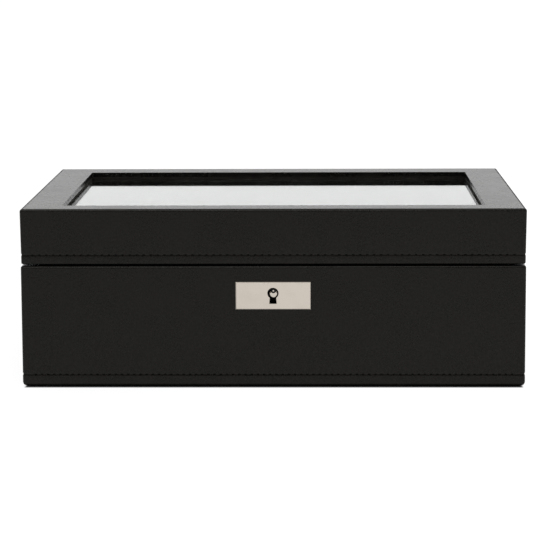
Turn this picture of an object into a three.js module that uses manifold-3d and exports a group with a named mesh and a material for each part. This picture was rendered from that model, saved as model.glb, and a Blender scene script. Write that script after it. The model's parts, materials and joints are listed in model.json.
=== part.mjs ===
// Watch box: a leather-covered case with a hinged, glazed lid, a mortised box lock and ten
// lift-out cushions in two rows of five. Millimetres, +Z up, front towards -Y.
import * as THREE from "three";
import { mergeVertices } from "three/addons/utils/BufferGeometryUtils.js";
import Module from "manifold-3d";

const wasm = await Module();
wasm.setup();

// ---------------------------------------------------------------- driving dimensions

// Outside of the leather.
const boxWidth = 305;
const boxDepth = 215;
const baseHeight = 74.5; // felt underside to the base's rim
const lidGap = 1.6; // daylight between the rim and the closed lid
const lidHeight = 32.9;

// Boards, skins and the joints between them.
const leather = 1; // thickness of the padded leather
const glueLine = 0.1; // gap between two glued faces
const wallThickness = 9; // base walls
const floorThickness = 6;
const liningThickness = 2; // suede-covered card in the base
const lidLiningThickness = 1.6;
const cornerRadius = 1.5; // upright corners
const baseBottomEdge = 2.6; // rounding radii of the long edges
const baseRimEdge = 2.2;
const lidBottomEdge = 2;
const lidTopEdge = 1.7;
const hemWidth = 12; // leather turned under the base
const feltThickness = 1.5;
const feltProud = 0.5; // felt stands lower than the turned leather
const feltMargin = 1; // between the felt and the turned leather

// Locating lip: the base linings rise into the lid.
const lipHeight = 3;
const lipClearance = 0.5;
const lipHeadroom = 1;

// Window in the lid.
const windowSideRail = 24.1;
const windowFrontRail = 17.8;
const windowBackRail = 23.2;
const windowCornerRadius = 1.5;
const topPanelThickness = 3.5;
const topSeamInset = 1.8; // the side leather turns this far onto the top
const glassThickness = 3;
const glassClearance = 0.5;
const retainerThickness = 5;

// Compartments and cushions.
const columns = 5;
const rows = 2;
const dividerThickness = 4;
const dividerDrop = 6.7; // rim to the dividers' top edges
const dividerEndClearance = 0.3;
const lapClearance = 0.3; // in the half-lap notches
const cushionSideClearance = 1;
const strapGap = 7.6; // in front of and behind each cushion
const cushionHeight = 48;
const cushionLift = 0.3; // cushion to floor lining
const cushionProfileRadius = 15;
const cushionEndRadius = 4;

// Box lock in the front wall.
const faceplateWidth = 45.2;
const faceplateHeight = 16.8;
const faceplateProud = 0.6;
const faceplateDrop = 9.8; // rim to the plate's top edge
const faceplateBevel = 0.5;
const faceplateClearance = 0.15;
const keyholeRise = 1.6; // keyhole centre above the plate's centre
const keyholeRadius = 3.1;
const keySlotDrop = 6.4; // keyhole centre to the slot's foot
const keySlotTop = 3.3; // slot width where it leaves the circle
const keySlotFoot = 4.3;
const keyWell = 1.4; // the wall's opening beyond the keyhole
const postRadius = 2;
const postSetback = 0.3; // post's end behind the plate's face
const caseWidth = 38;
const caseDepth = 6.4;
const caseSheet = 0.8;
const caseFoot = 2; // case below the key's sweep
const caseClearance = 0.3;
const flangeWidth = 50;
const flangeMargin = 0.7; // wall left on each side of the flange
const flangeThickness = 1.2;
const flangeClearance = 0.2;
const flangeScrewX = 21.8;

// Bolt and the strike's hooks.
const hookSpacing = 18;
const hookThickness = 1.6;
const hookDepth = 3.6;
const hookFoot = 1.4; // metal under the eye
const eyeHeight = 4;
const eyeDepth = 2.4;
const hookClearance = 0.6; // hook to the slot in the case
const barRise = 3.1; // bar's underside above the post's centre
const barHeight = 3.4;
const barOverrun = 6; // bar beyond the post, away from the fingers
const barClearance = 0.2;
const fingerDepth = 1.4;
const fingerHeight = 2.6;
const fingerLength = 3.5;
const fingerSetback = 1; // fingertip to hook when the bolt is drawn back
const riserWidth = 2;
const boltTravel = 4;
const talonWidth = 3.4;
const talonHeight = 2;
const boltToHook = 0.5; // bar's top to the hook's foot

// Hinges in the back wall.
const hingeSpacing = 170;
const hingeLength = 40;
const leafThickness = 1.2; // a little more than the leather, so it is let into the board
const leafSetback = 1.1; // leaf's end to the wall's inner face
const knuckleRadius = 2.5;
const knuckleGap = 0.2;
const barrelStandoff = 0.4; // barrel to the leather's face
const hingePinRadius = 1;
const pinClearance = 0.08;
const pinOverhang = 0.4;
const knuckleClearance = 0.4; // leaf's plate to the other leaf's knuckle
const hingeScrewSpacing = 24;
const leafClearance = 0.2;

// Countersunk screws.
const screwHeadRadius = 2.1;
const screwHeadHeight = 1;
const screwShankRadius = 1;
const screwLength = 7;
const screwClearance = 0.1;
const screwSlotWidth = 0.5;
const screwSlotDepth = 0.4;
const screwSlotLift = 0.1; // head's top below the metal that it sits in

const overcut = 1; // how far a cutting solid runs past the face it cuts

// ---------------------------------------------------------------- derived places

const halfWidth = boxWidth / 2;
const halfDepth = boxDepth / 2;
const skin = leather + glueLine;
const boardHalfX = halfWidth - skin;
const boardHalfY = halfDepth - skin;
const wallInX = boardHalfX - wallThickness;
const wallInY = boardHalfY - wallThickness;
const innerX = wallInX - glueLine - liningThickness;
const innerY = wallInY - glueLine - liningThickness;

const hemBottom = feltProud;
const floorBottom = hemBottom + leather + glueLine;
const floorTop = floorBottom + floorThickness;
const wallBottom = floorTop + glueLine;
const wallTop = baseHeight - skin;
const lipTop = baseHeight + lipHeight;
const floorLiningTop = wallBottom + liningThickness;
const dividerBottom = floorLiningTop + glueLine;
const dividerTop = baseHeight - dividerDrop;
const dividerMiddle = (dividerBottom + dividerTop) / 2;

const lidBottom = baseHeight + lidGap;
const lidTop = lidBottom + lidHeight;
const lidWallBottom = lidBottom + skin;
const topPanelTop = lidTop - skin;
const topPanelBottom = topPanelTop - topPanelThickness;
const lidWallTop = topPanelBottom - glueLine;
const lidInX = wallInX - glueLine + lipClearance;
const lidInY = wallInY - glueLine + lipClearance;
const glassTop = topPanelBottom - glueLine;
const glassBottom = glassTop - glassThickness;
const retainerTop = glassBottom - glueLine;
const retainerBottom = retainerTop - retainerThickness;
const lidLiningBottom = lipTop + lipHeadroom;
const lidLiningTop = retainerBottom - glueLine;

const windowHalfX = halfWidth - windowSideRail;
const windowFront = -halfDepth + windowFrontRail;
const windowBack = halfDepth - windowBackRail;

const columnPitch = (2 * innerX + dividerThickness) / columns;
const rowPitch = (2 * innerY + dividerThickness) / rows;
const cushionWidth = columnPitch - dividerThickness - 2 * cushionSideClearance;
const cushionDepth = rowPitch - dividerThickness - 2 * strapGap;
const cushionBottom = floorLiningTop + cushionLift;

const faceplateFace = -halfDepth - faceplateProud;
const faceplateBack = -boardHalfY - glueLine;
const faceplateMiddle = baseHeight - faceplateDrop - faceplateHeight / 2;
const lockZ = faceplateMiddle + keyholeRise; // the post's centre line
const lockY = -(boardHalfY + wallInY) / 2; // middle of the front wall
const flangeDepth = wallThickness - 2 * flangeMargin;
const caseBottom = lockZ - keySlotDrop - caseFoot;
const barBottom = lockZ + barRise;
const barTop = barBottom + barHeight;
const hookBottom = barTop + boltToHook;
const eyeBottom = hookBottom + hookFoot;
const fingerMiddle = eyeBottom + eyeHeight / 2;
const hookPlaces = [-hookSpacing / 2, hookSpacing / 2];

const pinY = halfDepth + barrelStandoff + knuckleRadius;
const pinZ = baseHeight + lidGap / 2;
const leafInnerY = wallInY + leafSetback;
const hingeScrewY = (boardHalfY + leafInnerY) / 2;
const hingePlaces = { left: -hingeSpacing / 2, right: hingeSpacing / 2 };
const hingeScrewOffsets = { outer: -hingeScrewSpacing / 2, inner: hingeScrewSpacing / 2 };

// ---------------------------------------------------------------- finishes

const leatherFinish = { color: 0x201f1e, roughness: 0.5, metalness: 0 };
const boardFinish = { color: 0x9c7a55, roughness: 0.85, metalness: 0 };
const suedeFinish = { color: 0x3a3936, roughness: 1, metalness: 0 };
const cushionFinish = { color: 0x55524d, roughness: 1, metalness: 0 };
const feltFinish = { color: 0x1b1b1c, roughness: 1, metalness: 0 };
const glassFinish = { color: 0xe8eeee, roughness: 0.05, metalness: 0, transparent: true, opacity: 0.3 };
const nickelFinish = { color: 0xcac3b9, roughness: 0.15, metalness: 1 };
const steelFinish = { color: 0x9a9b9c, roughness: 0.35, metalness: 1 };

// ---------------------------------------------------------------- solids

// A closed geometry as a solid that can be joined and cut.
function solid(geometry) {
  geometry.deleteAttribute("normal");
  geometry.deleteAttribute("uv");
  const merged = mergeVertices(geometry, 1e-4);
  return new wasm.Manifold(
    new wasm.Mesh({
      numProp: 3,
      vertProperties: new Float32Array(merged.attributes.position.array),
      triVerts: new Uint32Array(merged.index.array),
    }),
  );
}

// A solid as a named mesh.
function piece(name, made, finish) {
  const { vertProperties, triVerts } = made.getMesh();
  const geometry = new THREE.BufferGeometry();
  geometry.setAttribute("position", new THREE.BufferAttribute(vertProperties, 3));
  geometry.setIndex(new THREE.BufferAttribute(triVerts, 1));
  geometry.computeVertexNormals();
  const mesh = new THREE.Mesh(geometry, new THREE.MeshStandardMaterial(finish));
  mesh.name = name;
  return mesh;
}

function join(first, ...others) {
  return others.reduce((sum, other) => sum.add(other), first);
}

function cut(first, ...others) {
  return others.reduce((rest, other) => rest.subtract(other), first);
}

// A block between two opposite corners.
function block([x0, y0, z0], [x1, y1, z1]) {
  const geometry = new THREE.BoxGeometry(x1 - x0, y1 - y0, z1 - z0);
  return solid(geometry.translate((x0 + x1) / 2, (y0 + y1) / 2, (z0 + z1) / 2));
}

// A block centred on the Z axis.
function centredBlock(halfX, halfY, z0, z1) {
  return block([-halfX, -halfY, z0], [halfX, halfY, z1]);
}

// A rod along the X, Y or Z axis, from one coordinate to the other.
function rod(axis, from, to, radius, [a, b], segments = 24) {
  const geometry = new THREE.CylinderGeometry(radius, radius, to - from, segments);
  const middle = (from + to) / 2;
  if (axis === "x") geometry.rotateZ(Math.PI / 2).translate(middle, a, b);
  if (axis === "y") geometry.translate(a, middle, b);
  if (axis === "z") geometry.rotateX(Math.PI / 2).translate(a, b, middle);
  return solid(geometry);
}

// A rectangle with rounded corners, between two opposite corners.
function roundedRectangle([x0, y0], [x1, y1], radius) {
  const shape = new THREE.Shape();
  shape.absarc(x1 - radius, y0 + radius, radius, -Math.PI / 2, 0);
  shape.absarc(x1 - radius, y1 - radius, radius, 0, Math.PI / 2);
  shape.absarc(x0 + radius, y1 - radius, radius, Math.PI / 2, Math.PI);
  shape.absarc(x0 + radius, y0 + radius, radius, Math.PI, 1.5 * Math.PI);
  return shape;
}

// A plain rectangle centred on the origin.
function rectangle(halfX, halfY) {
  const shape = new THREE.Shape();
  shape.moveTo(-halfX, -halfY);
  shape.lineTo(halfX, -halfY);
  shape.lineTo(halfX, halfY);
  shape.lineTo(-halfX, halfY);
  shape.closePath();
  return shape;
}

// An upright prism over an outline.
function prism(shape, z0, z1, curveSegments = 4) {
  const options = { depth: z1 - z0, bevelEnabled: false, curveSegments };
  return solid(new THREE.ExtrudeGeometry(shape, options).translate(0, 0, z0));
}

// A block centred on the Z axis whose top and bottom edges are both rounded.
function pillowBlock(halfX, halfY, z0, z1, radius, bevelSegments = 5) {
  const geometry = new THREE.ExtrudeGeometry(rectangle(halfX - radius, halfY - radius), {
    depth: z1 - z0 - 2 * radius,
    bevelSize: radius,
    bevelThickness: radius,
    bevelSegments,
  });
  return solid(geometry.translate(0, 0, z0 + radius));
}

// The outside of the base or the lid: upright corners, bottom edges and top edges each
// have their own radius.
function casing(z0, z1, bottomEdge, topEdge) {
  const outline = roundedRectangle([-halfWidth, -halfDepth], [halfWidth, halfDepth], cornerRadius);
  const reach = z1 - z0;
  return prism(outline, z0, z1)
    .intersect(pillowBlock(halfWidth, halfDepth, z0, z1 + reach, bottomEdge))
    .intersect(pillowBlock(halfWidth, halfDepth, z0 - reach, z1, topEdge));
}

// The keyhole: a circle with a slot that widens towards its foot, grown by a margin, as a
// prism along Y.
function keyhole(y0, y1, margin) {
  const radius = keyholeRadius + margin;
  const slot = new THREE.Shape();
  slot.moveTo(-keySlotTop / 2 - margin, 0);
  slot.lineTo(-keySlotFoot / 2 - margin, -keySlotDrop - margin);
  slot.lineTo(keySlotFoot / 2 + margin, -keySlotDrop - margin);
  slot.lineTo(keySlotTop / 2 + margin, 0);
  slot.closePath();
  const geometry = new THREE.ExtrudeGeometry(slot, { depth: y1 - y0, bevelEnabled: false });
  geometry.rotateX(Math.PI / 2).translate(0, y1, lockZ);
  return join(solid(geometry), rod("y", y0, y1, radius, [0, lockZ], 32));
}

// A turned countersunk shape whose wide end is at z and which points down or up.
function countersunk(x, y, z, direction, points) {
  const profile = points.map(([radius, height]) => new THREE.Vector2(radius, height));
  const lathe = new THREE.LatheGeometry(profile, 16);
  const turned = lathe.rotateX(direction < 0 ? Math.PI / 2 : -Math.PI / 2);
  return solid(turned.translate(x, y, z));
}

// A countersunk slotted screw, just below the face at z.
function screw(x, y, z, direction) {
  const made = countersunk(x, y, z, direction, [
    [0, -screwLength],
    [screwShankRadius, -screwLength],
    [screwShankRadius, -screwHeadHeight - screwSlotLift],
    [screwHeadRadius, -screwSlotLift],
    [0, -screwSlotLift],
  ]);
  const slotTop = z - direction * overcut;
  const slotFoot = z + direction * (screwSlotLift + screwSlotDepth);
  const reach = screwHeadRadius + overcut;
  const slot = block(
    [x - reach, y - screwSlotWidth / 2, Math.min(slotTop, slotFoot)],
    [x + reach, y + screwSlotWidth / 2, Math.max(slotTop, slotFoot)],
  );
  return cut(made, slot);
}

// The hole for such a screw, as a cutting solid that runs past the face at z.
function screwHole(x, y, z, direction) {
  const head = screwHeadRadius + screwClearance;
  const shank = screwShankRadius + screwClearance;
  return countersunk(x, y, z, direction, [
    [0, -screwLength - screwClearance],
    [shank, -screwLength - screwClearance],
    [shank, -screwHeadHeight - screwSlotLift],
    [head, -screwSlotLift],
    [head, overcut],
    [0, overcut],
  ]);
}

// ---------------------------------------------------------------- places of the screws

const UP = 1;
const DOWN = -1;

const lockScrewPlaces = { left: [-flangeScrewX, lockY], right: [flangeScrewX, lockY] };

function hingeScrewPlaces(side) {
  const x = hingePlaces[side];
  return Object.entries(hingeScrewOffsets).map(([end, offset]) => ({
    end,
    place: [x + Math.sign(x) * -offset, hingeScrewY],
  }));
}

function screwHoles(places, z, direction) {
  return places.map(([x, y]) => screwHole(x, y, z, direction));
}

const allHingeScrews = Object.keys(hingePlaces).flatMap((side) =>
  hingeScrewPlaces(side).map(({ place }) => place),
);

// ---------------------------------------------------------------- base: boards and skins

// The leather skin: up the walls, over the rim and under the floor.
function baseLeather() {
  const shell = cut(
    casing(hemBottom, baseHeight, baseBottomEdge, baseRimEdge),
    centredBlock(halfWidth - leather, halfDepth - leather, hemBottom + leather, baseHeight - leather),
    centredBlock(halfWidth - hemWidth, halfDepth - hemWidth, hemBottom - overcut, floorBottom),
    centredBlock(wallInX, wallInY, wallTop - overcut, baseHeight + overcut),
  );
  const plateOpening = block(
    [
      -faceplateWidth / 2 - faceplateClearance,
      -halfDepth - overcut,
      faceplateMiddle - faceplateHeight / 2 - faceplateClearance,
    ],
    [
      faceplateWidth / 2 + faceplateClearance,
      -boardHalfY,
      faceplateMiddle + faceplateHeight / 2 + faceplateClearance,
    ],
  );
  return cut(
    shell,
    plateOpening,
    flangePocket(wallTop, baseHeight + overcut),
    ...leafPockets("base"),
  );
}

function baseFloor() {
  return centredBlock(boardHalfX, boardHalfY, floorBottom, floorTop);
}

// The front wall holds the lock: a pocket for its case, one for its flange, the key's way in
// and the pilot holes of its two screws.
function baseFrontWall() {
  const wall = block([-boardHalfX, -boardHalfY, wallBottom], [boardHalfX, -wallInY, wallTop]);
  const pocket = block(
    [
      -caseWidth / 2 - caseClearance,
      lockY - caseDepth / 2 - caseClearance,
      caseBottom - caseClearance,
    ],
    [caseWidth / 2 + caseClearance, lockY + caseDepth / 2 + caseClearance, wallTop + overcut],
  );
  const flangeBottom = baseHeight - flangeThickness - caseClearance;
  return cut(
    wall,
    pocket,
    flangePocket(flangeBottom, wallTop + overcut),
    keyhole(-boardHalfY - overcut, lockY, keyWell),
    ...screwHoles(Object.values(lockScrewPlaces), baseHeight, DOWN),
  );
}

function baseBackWall() {
  return cut(
    block([-boardHalfX, wallInY, wallBottom], [boardHalfX, boardHalfY, wallTop]),
    ...leafPockets("base"),
    ...screwHoles(allHingeScrews, baseHeight, DOWN),
  );
}

function baseSideWall(side) {
  const outer = side * boardHalfX;
  const inner = side * wallInX;
  return block(
    [Math.min(outer, inner), -wallInY + glueLine, wallBottom],
    [Math.max(outer, inner), wallInY - glueLine, wallTop],
  );
}

function undersideFelt() {
  const halfX = halfWidth - hemWidth - feltMargin;
  const halfY = halfDepth - hemWidth - feltMargin;
  return centredBlock(halfX, halfY, 0, feltThickness);
}

// ---------------------------------------------------------------- base: lining and dividers

function liningFrontOrBack(side) {
  const outer = side * (wallInY - glueLine);
  const inner = side * innerY;
  return block(
    [-wallInX + glueLine, Math.min(outer, inner), wallBottom],
    [wallInX - glueLine, Math.max(outer, inner), lipTop],
  );
}

function liningLeftOrRight(side) {
  const outer = side * (wallInX - glueLine);
  const inner = side * innerX;
  return block(
    [Math.min(outer, inner), -innerY + glueLine, wallBottom],
    [Math.max(outer, inner), innerY - glueLine, lipTop],
  );
}

function floorLining() {
  return centredBlock(innerX - glueLine, innerY - glueLine, wallBottom, floorLiningTop);
}

function crossDividerX(index) {
  return (index - columns / 2) * columnPitch;
}

const crossDividers = Array.from({ length: columns - 1 }, (_, i) => i + 1);
const notchHalf = dividerThickness / 2 + lapClearance;

// Runs left to right, notched from below where the cross dividers pass.
function longDivider() {
  const halfLength = innerX - dividerEndClearance;
  const notches = crossDividers.map((index) =>
    block(
      [crossDividerX(index) - notchHalf, -dividerThickness, dividerBottom - overcut],
      [crossDividerX(index) + notchHalf, dividerThickness, dividerMiddle + lapClearance / 2],
    ),
  );
  return cut(centredBlock(halfLength, dividerThickness / 2, dividerBottom, dividerTop), ...notches);
}

// Runs front to back, notched from above where the long divider passes.
function crossDivider(index) {
  const x = crossDividerX(index);
  const halfLength = innerY - dividerEndClearance;
  return cut(
    block(
      [x - dividerThickness / 2, -halfLength, dividerBottom],
      [x + dividerThickness / 2, halfLength, dividerTop],
    ),
    block(
      [x - dividerThickness, -notchHalf, dividerMiddle - lapClearance / 2],
      [x + dividerThickness, notchHalf, dividerTop + overcut],
    ),
  );
}

// A watch cushion: an oval roll that lies left to right, so that a strap closes round it.
function cushion(column, row) {
  const halfDepthOfRoll = cushionDepth / 2 - cushionEndRadius;
  const halfHeightOfRoll = cushionHeight / 2 - cushionEndRadius;
  const section = roundedRectangle(
    [-halfDepthOfRoll, -halfHeightOfRoll],
    [halfDepthOfRoll, halfHeightOfRoll],
    Math.min(cushionProfileRadius, halfHeightOfRoll) - cushionEndRadius,
  );
  const geometry = new THREE.ExtrudeGeometry(section, {
    depth: cushionWidth - 2 * cushionEndRadius,
    bevelSize: cushionEndRadius,
    bevelThickness: cushionEndRadius,
    bevelSegments: 2,
    curveSegments: 3,
  });
  geometry.translate(0, 0, -cushionWidth / 2 + cushionEndRadius);
  geometry.rotateY(Math.PI / 2).rotateX(Math.PI / 2);
  const x = (column - (columns - 1) / 2) * columnPitch;
  const y = (row - (rows - 1) / 2) * rowPitch;
  return solid(geometry.translate(x, y, cushionBottom + cushionHeight / 2));
}

// ---------------------------------------------------------------- lock

// The flange's outline as a cutting block, also used for the strike.
function flangePocket(z0, z1) {
  const halfX = flangeWidth / 2 + flangeClearance;
  const halfY = flangeDepth / 2 + flangeClearance;
  return block([-halfX, lockY - halfY, z0], [halfX, lockY + halfY, z1]);
}

function flangePlate(z0, z1) {
  return block(
    [-flangeWidth / 2, lockY - flangeDepth / 2, z0],
    [flangeWidth / 2, lockY + flangeDepth / 2, z1],
  );
}

// The plate round the keyhole, with a bevelled edge.
function lockFaceplate() {
  const flat = rectangle(faceplateWidth / 2 - faceplateBevel, faceplateHeight / 2 - faceplateBevel);
  const thickness = faceplateBack - faceplateFace;
  const geometry = new THREE.ExtrudeGeometry(flat, {
    depth: thickness,
    bevelSize: faceplateBevel,
    bevelThickness: faceplateBevel,
    bevelSegments: 2,
  });
  geometry.rotateX(Math.PI / 2).translate(0, faceplateFace + faceplateBevel + thickness, faceplateMiddle);
  const behind = block(
    [-faceplateWidth, faceplateBack, faceplateMiddle - faceplateHeight],
    [faceplateWidth, faceplateBack + thickness, faceplateMiddle + faceplateHeight],
  );
  return cut(solid(geometry), behind, keyhole(faceplateFace - overcut, faceplateBack + overcut, 0));
}

// A folded steel case under a flange that sits flush in the rim.
function lockCase() {
  const top = baseHeight;
  const outside = block(
    [-caseWidth / 2, lockY - caseDepth / 2, caseBottom],
    [caseWidth / 2, lockY + caseDepth / 2, top],
  );
  const inside = block(
    [-caseWidth / 2 + caseSheet, lockY - caseDepth / 2 + caseSheet, caseBottom + caseSheet],
    [caseWidth / 2 - caseSheet, lockY + caseDepth / 2 - caseSheet, top - flangeThickness],
  );
  const hookSlots = hookPlaces.map((x) =>
    block(
      [x - hookThickness / 2 - hookClearance, lockY - hookDepth / 2 - hookClearance, caseBottom + caseFoot],
      [x + hookThickness / 2 + hookClearance, lockY + hookDepth / 2 + hookClearance, top + overcut],
    ),
  );
  return cut(
    join(outside, flangePlate(top - flangeThickness, top)),
    inside,
    ...hookSlots,
    keyhole(-boardHalfY, lockY - caseDepth / 2 + caseSheet + glueLine, 0),
    ...screwHoles(Object.values(lockScrewPlaces), baseHeight, DOWN),
  );
}

// The post that the key's barrel turns on, with a domed end.
function lockPost() {
  const front = faceplateFace + postSetback;
  const back = lockY + caseDepth / 2 - caseSheet - glueLine;
  const dome = postRadius / 3;
  const arc = new THREE.Path();
  arc.moveTo(0, 0);
  arc.lineTo(postRadius, 0);
  arc.lineTo(postRadius, back - front - dome);
  arc.quadraticCurveTo(postRadius, back - front, 0, back - front);
  const lathe = new THREE.LatheGeometry(arc.getPoints(5), 24);
  return solid(lathe.rotateX(Math.PI).translate(0, back, lockZ));
}

// The bolt: a bar that the key throws by its talon, with a finger for each hook.
function lockBolt() {
  const fingers = hookPlaces.map((x) => {
    const tip = x - hookThickness / 2 - fingerSetback;
    const root = tip - fingerLength;
    return { tip, root, riser: root - riserWidth };
  });
  const barHalf = caseDepth / 2 - caseSheet - barClearance;
  const bar = block([fingers[0].riser, lockY - barHalf, barBottom], [barOverrun, lockY + barHalf, barTop]);
  const hooks = fingers.map(({ tip, root, riser }) =>
    join(
      block(
        [riser, lockY - fingerDepth / 2, barTop - barHeight / 2],
        [root, lockY + fingerDepth / 2, fingerMiddle + fingerHeight / 2],
      ),
      block(
        [root - riserWidth / 2, lockY - fingerDepth / 2, fingerMiddle - fingerHeight / 2],
        [tip, lockY + fingerDepth / 2, fingerMiddle + fingerHeight / 2],
      ),
    ),
  );
  const talonMiddle = -boltTravel / 2;
  const talon = block(
    [talonMiddle - talonWidth / 2, lockY - caseDepth, barBottom - overcut],
    [talonMiddle + talonWidth / 2, lockY + caseDepth, barBottom + talonHeight],
  );
  return cut(join(bar, ...hooks), talon);
}

// The strike under the lid: a plate with two hooks, each with an eye for the bolt's finger.
function strikePlate() {
  const hooks = hookPlaces.map((x) => {
    const hook = block(
      [x - hookThickness / 2, lockY - hookDepth / 2, hookBottom],
      [x + hookThickness / 2, lockY + hookDepth / 2, lidBottom + flangeThickness / 2],
    );
    const eye = block(
      [x - hookThickness, lockY - eyeDepth / 2, eyeBottom],
      [x + hookThickness, lockY + eyeDepth / 2, eyeBottom + eyeHeight],
    );
    return cut(hook, eye);
  });
  return cut(
    join(flangePlate(lidBottom, lidBottom + flangeThickness), ...hooks),
    ...screwHoles(Object.values(lockScrewPlaces), lidBottom, UP),
  );
}

// ---------------------------------------------------------------- hinges

const leafSpan = {
  base: [baseHeight - leafThickness, baseHeight],
  lid: [lidBottom, lidBottom + leafThickness],
};

// The knuckles of one leaf along X, measured from the hinge's middle.
function knuckleSpans(part) {
  const third = hingeLength / 3;
  const half = hingeLength / 2;
  if (part === "lid") return [[-third / 2 + knuckleGap, third / 2 - knuckleGap]];
  return [
    [-half, -third / 2],
    [third / 2, half],
  ];
}

function hingeLeaf(part, x) {
  const [z0, z1] = leafSpan[part];
  const edge = pinY - knuckleRadius - knuckleClearance;
  const plate = block([x - hingeLength / 2, leafInnerY, z0], [x + hingeLength / 2, edge, z1]);
  const knuckles = knuckleSpans(part).flatMap(([from, to]) => [
    rod("x", x + from, x + to, knuckleRadius, [pinY, pinZ]),
    block([x + from, edge - overcut, z0], [x + to, pinY, z1]),
  ]);
  const bore = rod(
    "x",
    x - hingeLength,
    x + hingeLength,
    hingePinRadius + pinClearance,
    [pinY, pinZ],
  );
  const direction = part === "base" ? DOWN : UP;
  const seat = part === "base" ? baseHeight : lidBottom;
  const places = Object.values(hingeScrewOffsets).map((offset) => [x + offset, hingeScrewY]);
  return cut(join(plate, ...knuckles), bore, ...screwHoles(places, seat, direction));
}

// Where a leaf is let in: through the turned leather, and into the board as far as it needs.
const leafPocketSpan = {
  base: [Math.min(wallTop, leafSpan.base[0] - glueLine), baseHeight + overcut],
  lid: [lidBottom - overcut, Math.max(lidWallBottom, leafSpan.lid[1] + glueLine)],
};

function leafPockets(part) {
  const [z0, z1] = leafPocketSpan[part];
  return Object.values(hingePlaces).map((x) =>
    block(
      [x - hingeLength / 2 - leafClearance, leafInnerY - leafClearance, z0],
      [x + hingeLength / 2 + leafClearance, halfDepth + overcut, z1],
    ),
  );
}

function hingePin(x) {
  const half = hingeLength / 2 + pinOverhang;
  return rod("x", x - half, x + half, hingePinRadius, [pinY, pinZ]);
}

// ---------------------------------------------------------------- lid

// The leather round the lid's sides: under the bottom edge, up the walls and just over the top.
function lidSideLeather() {
  const shell = cut(
    casing(lidBottom, lidTop, lidBottomEdge, lidTopEdge),
    centredBlock(halfWidth - leather, halfDepth - leather, lidBottom + leather, lidTop - leather),
    centredBlock(lidInX, lidInY, lidBottom - overcut, lidWallBottom),
    centredBlock(halfWidth - topSeamInset, halfDepth - topSeamInset, topPanelTop, lidTop + overcut),
  );
  return cut(
    shell,
    flangePocket(lidBottom - overcut, lidWallBottom),
    ...leafPockets("lid"),
  );
}

// The window's outline, grown on every side by a margin.
function windowOutline(margin) {
  return roundedRectangle(
    [-windowHalfX - margin, windowFront - margin],
    [windowHalfX + margin, windowBack + margin],
    windowCornerRadius + margin,
  );
}

// The leather on top: a frame that turns down into the window as far as the glass.
function lidTopLeather() {
  const halfX = halfWidth - topSeamInset - glueLine;
  const halfY = halfDepth - topSeamInset - glueLine;
  const underTop = cut(
    centredBlock(halfX + overcut, halfY + overcut, topPanelBottom - overcut, lidTop - leather),
    prism(windowOutline(leather), topPanelBottom - 2 * overcut, lidTop),
  );
  return cut(
    centredBlock(halfX, halfY, topPanelBottom, lidTop),
    underTop,
    prism(windowOutline(0), topPanelBottom - overcut, lidTop + overcut),
  );
}

function lidTopPanel() {
  return cut(
    centredBlock(boardHalfX, boardHalfY, topPanelBottom, topPanelTop),
    prism(windowOutline(skin), topPanelBottom - overcut, topPanelTop + overcut),
  );
}

function lidFrontWall() {
  return cut(
    block([-boardHalfX, -boardHalfY, lidWallBottom], [boardHalfX, -lidInY, lidWallTop]),
    flangePocket(lidWallBottom - overcut, lidBottom + flangeThickness + glueLine),
    ...screwHoles(Object.values(lockScrewPlaces), lidBottom, UP),
  );
}

function lidBackWall() {
  return cut(
    block([-boardHalfX, lidInY, lidWallBottom], [boardHalfX, boardHalfY, lidWallTop]),
    ...leafPockets("lid"),
    ...screwHoles(allHingeScrews, lidBottom, UP),
  );
}

function lidSideWall(side) {
  const outer = side * boardHalfX;
  const inner = side * lidInX;
  return block(
    [Math.min(outer, inner), -lidInY + glueLine, lidWallBottom],
    [Math.max(outer, inner), lidInY - glueLine, lidWallTop],
  );
}

function lidGlass() {
  return centredBlock(lidInX - glassClearance, lidInY - glassClearance, glassBottom, glassTop);
}

// The suede-covered frame that holds the glass up against the top panel.
function glassRetainer() {
  return cut(
    centredBlock(lidInX - glueLine, lidInY - glueLine, retainerBottom, retainerTop),
    prism(windowOutline(0), retainerBottom - overcut, retainerTop + overcut),
  );
}

// The suede band round the inside of the lid, clear of the base's lip.
function lidLiningBand() {
  const outerX = lidInX - glueLine;
  const outerY = lidInY - glueLine;
  return cut(
    centredBlock(outerX, outerY, lidLiningBottom, lidLiningTop),
    centredBlock(
      outerX - lidLiningThickness,
      outerY - lidLiningThickness,
      lidLiningBottom - overcut,
      lidLiningTop + overcut,
    ),
  );
}

// ---------------------------------------------------------------- assembly

const base = new THREE.Group();
base.add(
  piece("base_floor_panel", baseFloor(), boardFinish),
  piece("base_front_panel", baseFrontWall(), boardFinish),
  piece("base_back_panel", baseBackWall(), boardFinish),
  piece("base_left_panel", baseSideWall(-1), boardFinish),
  piece("base_right_panel", baseSideWall(1), boardFinish),
  piece("base_leather_wrap", baseLeather(), leatherFinish),
  piece("base_underside_felt", undersideFelt(), feltFinish),
  piece("lining_front", liningFrontOrBack(-1), suedeFinish),
  piece("lining_back", liningFrontOrBack(1), suedeFinish),
  piece("lining_left", liningLeftOrRight(-1), suedeFinish),
  piece("lining_right", liningLeftOrRight(1), suedeFinish),
  piece("floor_lining", floorLining(), suedeFinish),
  piece("long_divider", longDivider(), suedeFinish),
  ...crossDividers.map((index) => piece(`cross_divider_${index}`, crossDivider(index), suedeFinish)),
  piece("lock_faceplate", lockFaceplate(), nickelFinish),
  piece("lock_case", lockCase(), steelFinish),
  piece("lock_post", lockPost(), nickelFinish),
);

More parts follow.
